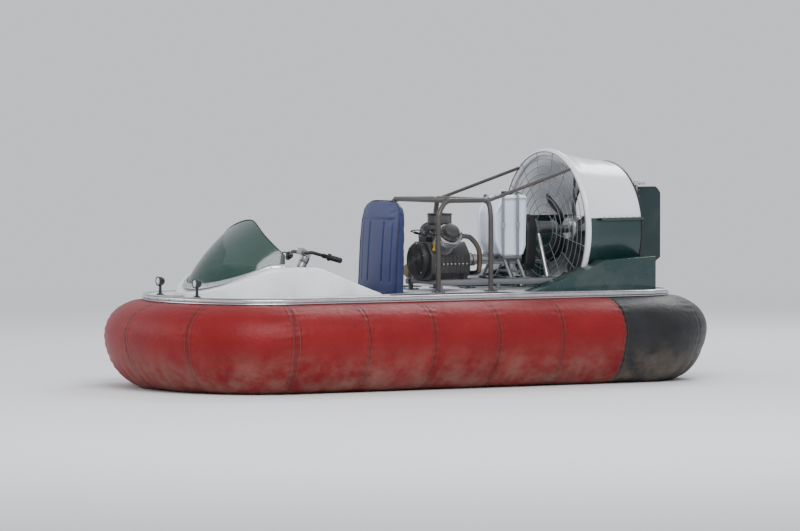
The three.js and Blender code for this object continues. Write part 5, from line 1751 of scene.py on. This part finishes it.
def header(outlet, bends):
    """A pipe from a cylinder's exhaust port through its bends, with the flange that bolts it to the port."""
    start = outlet - FORE * (PORT_REACH + 0.0005)
    line = pipe(through([start, start - FORE * 0.022, *bends], 10), 0.0165, 20)
    flange = turned([(0.0, 0.0), (0.0, 0.029), (0.007, 0.029), (0.009, 0.020), (0.014, 0.0165)],
                    start, -FORE, 32)
    spots = [start - FORE * 0.007 + (0, side * 0.0225, 0) for side in BOTH_SIDES]
    return fused([line, flange]), bolts(spots, -FORE, 0.005)


port_header, port_nuts = header(port_outlet, [
    (-0.404, 0.208, 0.926), (-0.466, 0.206, 0.850), (CROSS_X, 0.180, 0.735), (CROSS_X, 0.125, CROSS_Z),
    (CROSS_X, -0.130, CROSS_Z), (-0.470, SILENCER_Y + 0.010, 0.703)])
star_header, star_nuts = header(star_outlet, [
    (-0.492, -0.214, 0.914), (-0.516, -0.238, 0.860), (-0.498, -0.265, 0.785), (-0.480, SILENCER_Y, 0.720)])
bracket = block((-0.440, SILENCER_Y + 0.010, RAIL_TOP), (-0.380, -0.170, 0.671))
bands = [turned([(x - 0.010, 0.0525), (x - 0.010, 0.0545), (x + 0.010, 0.0545), (x + 0.010, 0.0525)],
                (0, SILENCER_Y, SILENCER_Z), segments=72, closed=True) for x in (-0.410, CAN_FORE - 0.06)]
put("silencer_and_pipes", [
    (fused([turned(can, (0, SILENCER_Y, SILENCER_Z), segments=72), tail, star_header, port_header]),
     exhaust_metal),
    (fused([bracket, *bands]), grey_steel), (fused([port_nuts, star_nuts]), bolt_metal)],
    replaces=("exhaust_silencer",), crease_deg=40)


def upright_ribs(x, radius, low, high, count):
    """Thin upright ribs round a circle."""
    spots = [(x + radius * math.cos(a), radius * math.sin(a)) for a in np.arange(count) * 2 * math.pi / count]
    return [pipe([(*spot, low), (*spot, high)], 0.0011, 4) for spot in spots]


pleats = [(-0.038, 0.0), (-0.038, 0.077), (-0.036, 0.080), (-0.026, 0.080), (-0.025, 0.0765), (0.024, 0.0765),
          (0.025, 0.080), (0.034, 0.080), (0.038, 0.076), (0.038, 0.030), (0.041, 0.028), (0.041, 0.0)]
neck = [(-0.1436, 0.0), (-0.1436, 0.036), (-0.139, 0.036), (-0.138, 0.030), (-0.090, 0.030), (-0.088, 0.034),
        (-0.080, 0.034), (-0.078, 0.030), (-0.037, 0.030)]
filter_middle = (FILTER_X, 0, FILTER_Z)
wing_nut = block((FILTER_X - 0.017, -0.003, FILTER_Z + 0.041), (FILTER_X + 0.017, 0.003, FILTER_Z + 0.053))
mesh_ribs = upright_ribs(FILTER_X, 0.0772, FILTER_Z - 0.025, FILTER_Z + 0.025, 72)
put("air_filter_can", [
    (fused([turned(pleats, filter_middle, UP, 72), turned(neck, filter_middle, UP, 40)]), black_plastic),
    (fused([wing_nut, *mesh_ribs]), cast_alloy)],
    replaces=("air_filter",), crease_deg=35)

COIL_X = BLOCK_FORE - 0.040


def lead(outlet, way, x, y):
    """A cable from a cylinder's plug over to the coil."""
    start = outlet + way * 0.020 + FORE * 0.116
    end = np.array([x, y, 0.926])
    middle = (start + end) / 2 + UP * 0.030
    return pipe(through([start, start + (0.025, 0, 0.010), middle, end + UP * 0.020, end], 10), 0.0038, 10)


coil = block((COIL_X - 0.025, -0.045, 0.9006), (COIL_X + 0.025, 0.045, 0.930))
leads = [lead(port_outlet, port_way, COIL_X + 0.010, 0.032),
         lead(star_outlet, star_way, COIL_X - 0.010, -0.032)]
put("ignition_leads", [(fused([*leads, coil]), black_plastic)])

# %% [markdown]
# ## Belt drive, subframe and tank
#
# A belt cover shaped like a loop round two circles hides the pulleys. The shaft housing stands on two legs.
# The white tank is moulded: each flank lies a little way inside a rounded rim, and the shell between the rims
# rises to a seam in the middle. It has a cap and two straps.


# %% Belt drive and shaft housing
(BELT_AFT, _, _), (BELT_FORE, _, _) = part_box("belt_cover")
HALF_TURN = np.linspace(0, math.pi, 28)


def belt_loop(shrink):
    """Half circles about the fan's and the crank's axes, joined by straight runs."""
    halves = ((AXIS_Z, 0.100 - shrink, HALF_TURN), (CRANK_Z, 0.080 - shrink, HALF_TURN + math.pi))
    return np.concatenate([np.stack([radius * np.cos(angle), z + radius * np.sin(angle)], axis=1)
                           for z, radius, angle in halves])


cover_rows = [(BELT_AFT, 0.006), (BELT_AFT + 0.0015, 0.002), (BELT_AFT + 0.006, 0.0),
              (BELT_FORE - 0.018, 0.0), (BELT_FORE - 0.016, 0.0), (BELT_FORE - 0.006, 0.001),
              (BELT_FORE - 0.0015, 0.004), (BELT_FORE, 0.010), (BELT_FORE, 0.022),
              (BELT_FORE - 0.004, 0.026), (BELT_FORE - 0.004, 0.030)]
cover_grid = np.stack([np.insert(belt_loop(shrink), 0, x, axis=1) for x, shrink in cover_rows])
cover_screws = np.insert(belt_loop(0.013)[[0, 9, 18, 27, 34, 42, 49]], 0, BELT_FORE - 0.002, axis=1)
put("belt_guard_cover", [(closed_rows(cover_grid), black_plastic),
                         (bolts(cover_screws, FORE, 0.0055), bolt_metal)],
    replaces=("belt_cover",), crease_deg=35)

housing = [(SHAFT_END, 0.0), (SHAFT_END, 0.040), (SHAFT_END + 0.002, 0.042), (-1.170, 0.044), (-1.167, 0.058),
           (-1.150, 0.058), (-1.147, 0.053), (-1.040, 0.053), (-1.036, 0.058), (-1.012, 0.058),
           (-0.992, 0.0725), (-0.989, 0.074), (BELT_AFT - HAIR, 0.074), (BELT_AFT - HAIR, 0.0)]
PYLON_X = -1.020
legs, leg_bolts = [pipe([(PYLON_X, -0.118, 0.760), (PYLON_X, 0.118, 0.760)], 0.012, 20)], []
for side in BOTH_SIDES:
    plate, spots = footplate(PYLON_X, side * 0.160, RAIL_TOP, 0.667, 0.034, 0.032, 0.010)
    leg = [(PYLON_X, side * 0.150, 0.664), (PYLON_X, side * 0.040, AXIS_Z - 0.030)]
    legs += [pipe(leg, 0.015, 24), plate]
    leg_bolts += spots
grease = [turned([(0, 0.005), (0.006, 0.005), (0.007, 0.003), (0.012, 0.0035), (0.014, 0.002)],
                 (x, 0.0, AXIS_Z + 0.0525), UP, 12) for x in (-1.158, -1.024)]
put("fan_shaft_housing", [(fused([turned(housing, (0, 0, AXIS_Z), segments=72), *legs]), cast_alloy),
                          (fused([bolts(leg_bolts, UP, 0.006), *grease]), bolt_metal)],
    replaces=("shaft_housing",), crease_deg=40)

# %% Subframe
FOOT_LOW, FOOT_HIGH = DECK_Z + 0.0006, DECK_Z + 0.0078
RAIL_Y, RAIL_Z = 0.190, 0.640
frame_parts, plate_spots = [], []
for y in (RAIL_Y, -RAIL_Y):
    frame_parts.append(pipe([(-0.160, y, RAIL_Z), (-1.075, y, RAIL_Z)], 0.0188, 24))
    for x in (-0.190, -0.620, -1.000):
        plate, spots = footplate(x, y, FOOT_LOW, FOOT_HIGH, 0.040, 0.040, 0.011)
        frame_parts += [pipe([(x, y, DECK_Z + 0.004), (x, y, RAIL_Z)], 0.0158, 20), plate]
        plate_spots += spots
for x in (-0.190, -0.410, -0.620, -1.000):
    frame_parts.append(pipe([(x, -RAIL_Y, RAIL_Z), (x, RAIL_Y, RAIL_Z)], 0.0139, 20))
put("engine_subframe", [(fused(frame_parts), grey_steel), (bolts(plate_spots, UP, 0.006), bolt_metal)],
    replaces=("engine_frame",), crease_deg=40)

# %% Tank and its tray
TANK_AFT, TANK_FORE, TANK_HALF, TANK_LOW, TANK_TOP = -0.890, -0.640, 0.115, 0.800, 1.196
TANK_RIM = 0.020                                # radius of the rounded rims, and how deep the flanks lie
CAP_X = -0.800
STRAPS_X = (-0.815, -0.705)
tank_side = np.array([
    (TANK_AFT + 0.030, TANK_LOW), (TANK_FORE - 0.060, TANK_LOW), (TANK_FORE - 0.008, TANK_LOW + 0.090),
    (TANK_FORE, 1.090), (TANK_FORE - 0.070, TANK_TOP), (TANK_AFT, TANK_TOP),
    (TANK_AFT + 0.006, TANK_LOW + 0.060)])


def rounded_loop(outline, radius):
    """A closed outline with its corners rounded."""
    outline = np.asarray(outline)
    joint = (outline[-1:] + outline[:1]) / 2
    return rounded_path(np.concatenate([joint, outline, joint]), radius, 7)[:-1]


tank_loop = rounded_loop(tank_side, 0.018)
tank_middle = tank_loop.mean(axis=0)
tank_inward = unit(tank_middle - tank_loop)
rim_rows = [(-TANK_HALF + TANK_RIM * (1 - math.sin(a)), TANK_RIM * (1 - math.cos(a)))
            for a in np.linspace(0, QUARTER, 7)]
seam_rows = [(-0.0006, 0.0), (-0.0005, -0.0016), (0.0005, -0.0016), (0.0006, 0.0)]
tank_rows = rim_rows + seam_rows + [(-y, shrink) for y, shrink in rim_rows[::-1]]
tank_grid = np.stack([np.insert(tank_loop + tank_inward * shrink, 1, y, axis=1) for y, shrink in tank_rows])
tank_cap = turned([(0.0, 0.0), (0.0, 0.030), (0.004, 0.034), (0.020, 0.034), (0.023, 0.032), (0.0235, 0.014),
                   (0.0215, 0.012), (0.0215, 0.0)], (CAP_X, 0, TANK_TOP), UP, 56)
knurls = upright_ribs(CAP_X, 0.034, TANK_TOP + 0.003, TANK_TOP + 0.020, 36)
vent = pipe(through([(-0.860, 0.02, TANK_TOP - 0.002), (-0.860, 0.02, TANK_TOP + 0.008),
                     (-0.866, 0.035, TANK_TOP + 0.014), (-0.872, 0.060, TANK_TOP + 0.010)], 6), 0.0035, 10)
put("fuel_tank_moulded", [(closed_rows(tank_grid), tank_plastic),
                          (fused([tank_cap, *knurls, vent]), black_plastic)],
    replaces=("fuel_tank",), crease_deg=40)

strap_y, strap_low, strap_top = TANK_HALF + 0.0008, TANK_LOW - 0.0012, TANK_TOP + 0.0012
strap_loop = rounded_loop([(-strap_y, strap_low), (strap_y, strap_low), (strap_y, strap_top),
                           (-strap_y, strap_top)], 0.019)
strap_out = unit(strap_loop - strap_loop.mean(axis=0))
straps, buckles = [], []
for x in STRAPS_X:
    rows = [(x - 0.011, 0.0), (x - 0.011, 0.0014), (x + 0.011, 0.0014), (x + 0.011, 0.0)]
    grid = np.stack([np.insert(strap_loop + strap_out * lift, 0, at, axis=1) for at, lift in rows])
    straps.append(surface(grid, True, True))
    buckles.append(block((x - 0.014, TANK_HALF + 0.0022, 0.985), (x + 0.014, TANK_HALF + 0.0062, 1.020)))
put("tank_straps", [(fused(straps), strap_webbing), (fused(buckles), bolt_metal)])
softened("tank_tray", "tank_tray_rounded", grey_steel, 0.0012)

# %% [markdown]
# ## Engine guard
#
# A cage of bent tube stands round the engine, so nobody falls against it, with two stays back to the duct.


# %% Engine guard
GUARD_FORE, GUARD_AFT, GUARD_HALF, GUARD_TOP, GUARD_R = -0.080, -0.470, 0.350, 1.170, 0.016
SHOULDER, SHOULDER_Z = GUARD_HALF * 0.92, 1.085
guard_parts, foot_spots = [], []
for side in BOTH_SIDES:
    y, inner = side * GUARD_HALF, side * SHOULDER
    hoop = [(GUARD_FORE, y, DECK_Z + 0.005), (GUARD_FORE, y, SHOULDER_Z),
            (GUARD_FORE - 0.070, inner, GUARD_TOP), (GUARD_AFT, inner, GUARD_TOP),
            (GUARD_AFT, y, SHOULDER_Z), (GUARD_AFT, y, DECK_Z + 0.005)]
    stay = [(GUARD_AFT, inner, GUARD_TOP - 0.004), (DUCT_FRONT + 0.0126, side * 0.318, 1.364)]
    guard_parts += [pipe(rounded_path(hoop, 0.045, 9), GUARD_R, 24), pipe(stay, 0.0108, 18)]
    for x in (GUARD_FORE, GUARD_AFT):
        plate, spots = footplate(x, y, FOOT_LOW, FOOT_HIGH, 0.032, 0.032, 0.009)
        guard_parts.append(plate)
        foot_spots += spots
for x in (GUARD_FORE - 0.070, GUARD_AFT):
    guard_parts.append(pipe([(x, -SHOULDER, GUARD_TOP), (x, SHOULDER, GUARD_TOP)], 0.0158, 24))
put("engine_guard_tubes", [(fused(guard_parts), guard_steel), (bolts(foot_spots, UP, 0.0055), bolt_metal)],
    replaces=("engine_guard",), crease_deg=40)

# %% [markdown]
# ## Fairings, pads, skids and small fittings
#
# The fairings beside the duct and the skids keep their packed outlines with rounded edges. The step pads get
# thin rounded edges too, and their grip pattern is in their finish.

# %% Fairings, pads and skids
for side_name in ("port", "starboard"):
    softened(f"plinth_{side_name}", f"duct_fairing_{side_name}", green_gelcoat, 0.012,
             segments=4, angle=20)
    softened(f"skid_{side_name}", f"landing_skid_{side_name}", black_plastic, 0.006,
             segments=3)
    softened(f"deck_pad_{side_name}", f"step_pad_{side_name}", grip_pad, 0.0012)
softened("splitter_plate", "lift_air_splitter", cast_alloy, 0.0016)
softened("floor_mat", "ribbed_floor_mat", floor_rubber, 0.002)
bow_low, bow_high = np.array(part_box("bow_plate"))
bow_spots = [(x, y, bow_high[2]) for x in (bow_low[0] + 0.018, bow_high[0] - 0.018) for y in (-0.050, 0.050)]
softened("bow_plate", "bow_fitting_plate", cast_alloy, 0.0012,
         extra=((bolts(bow_spots, UP, 0.006, 0.4), bolt_metal),))

# %% [markdown]
# ## Finish for the solids that stay
#
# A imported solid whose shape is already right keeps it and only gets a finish.

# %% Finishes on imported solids
STAYS = {"hull_pan": hull_gelcoat, "stern_pan": hull_gelcoat, "hull_sides": hull_gelcoat}
for name, material in STAYS.items():
    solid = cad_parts[name]
    solid.data.materials.clear()
    solid.data.materials.append(material)
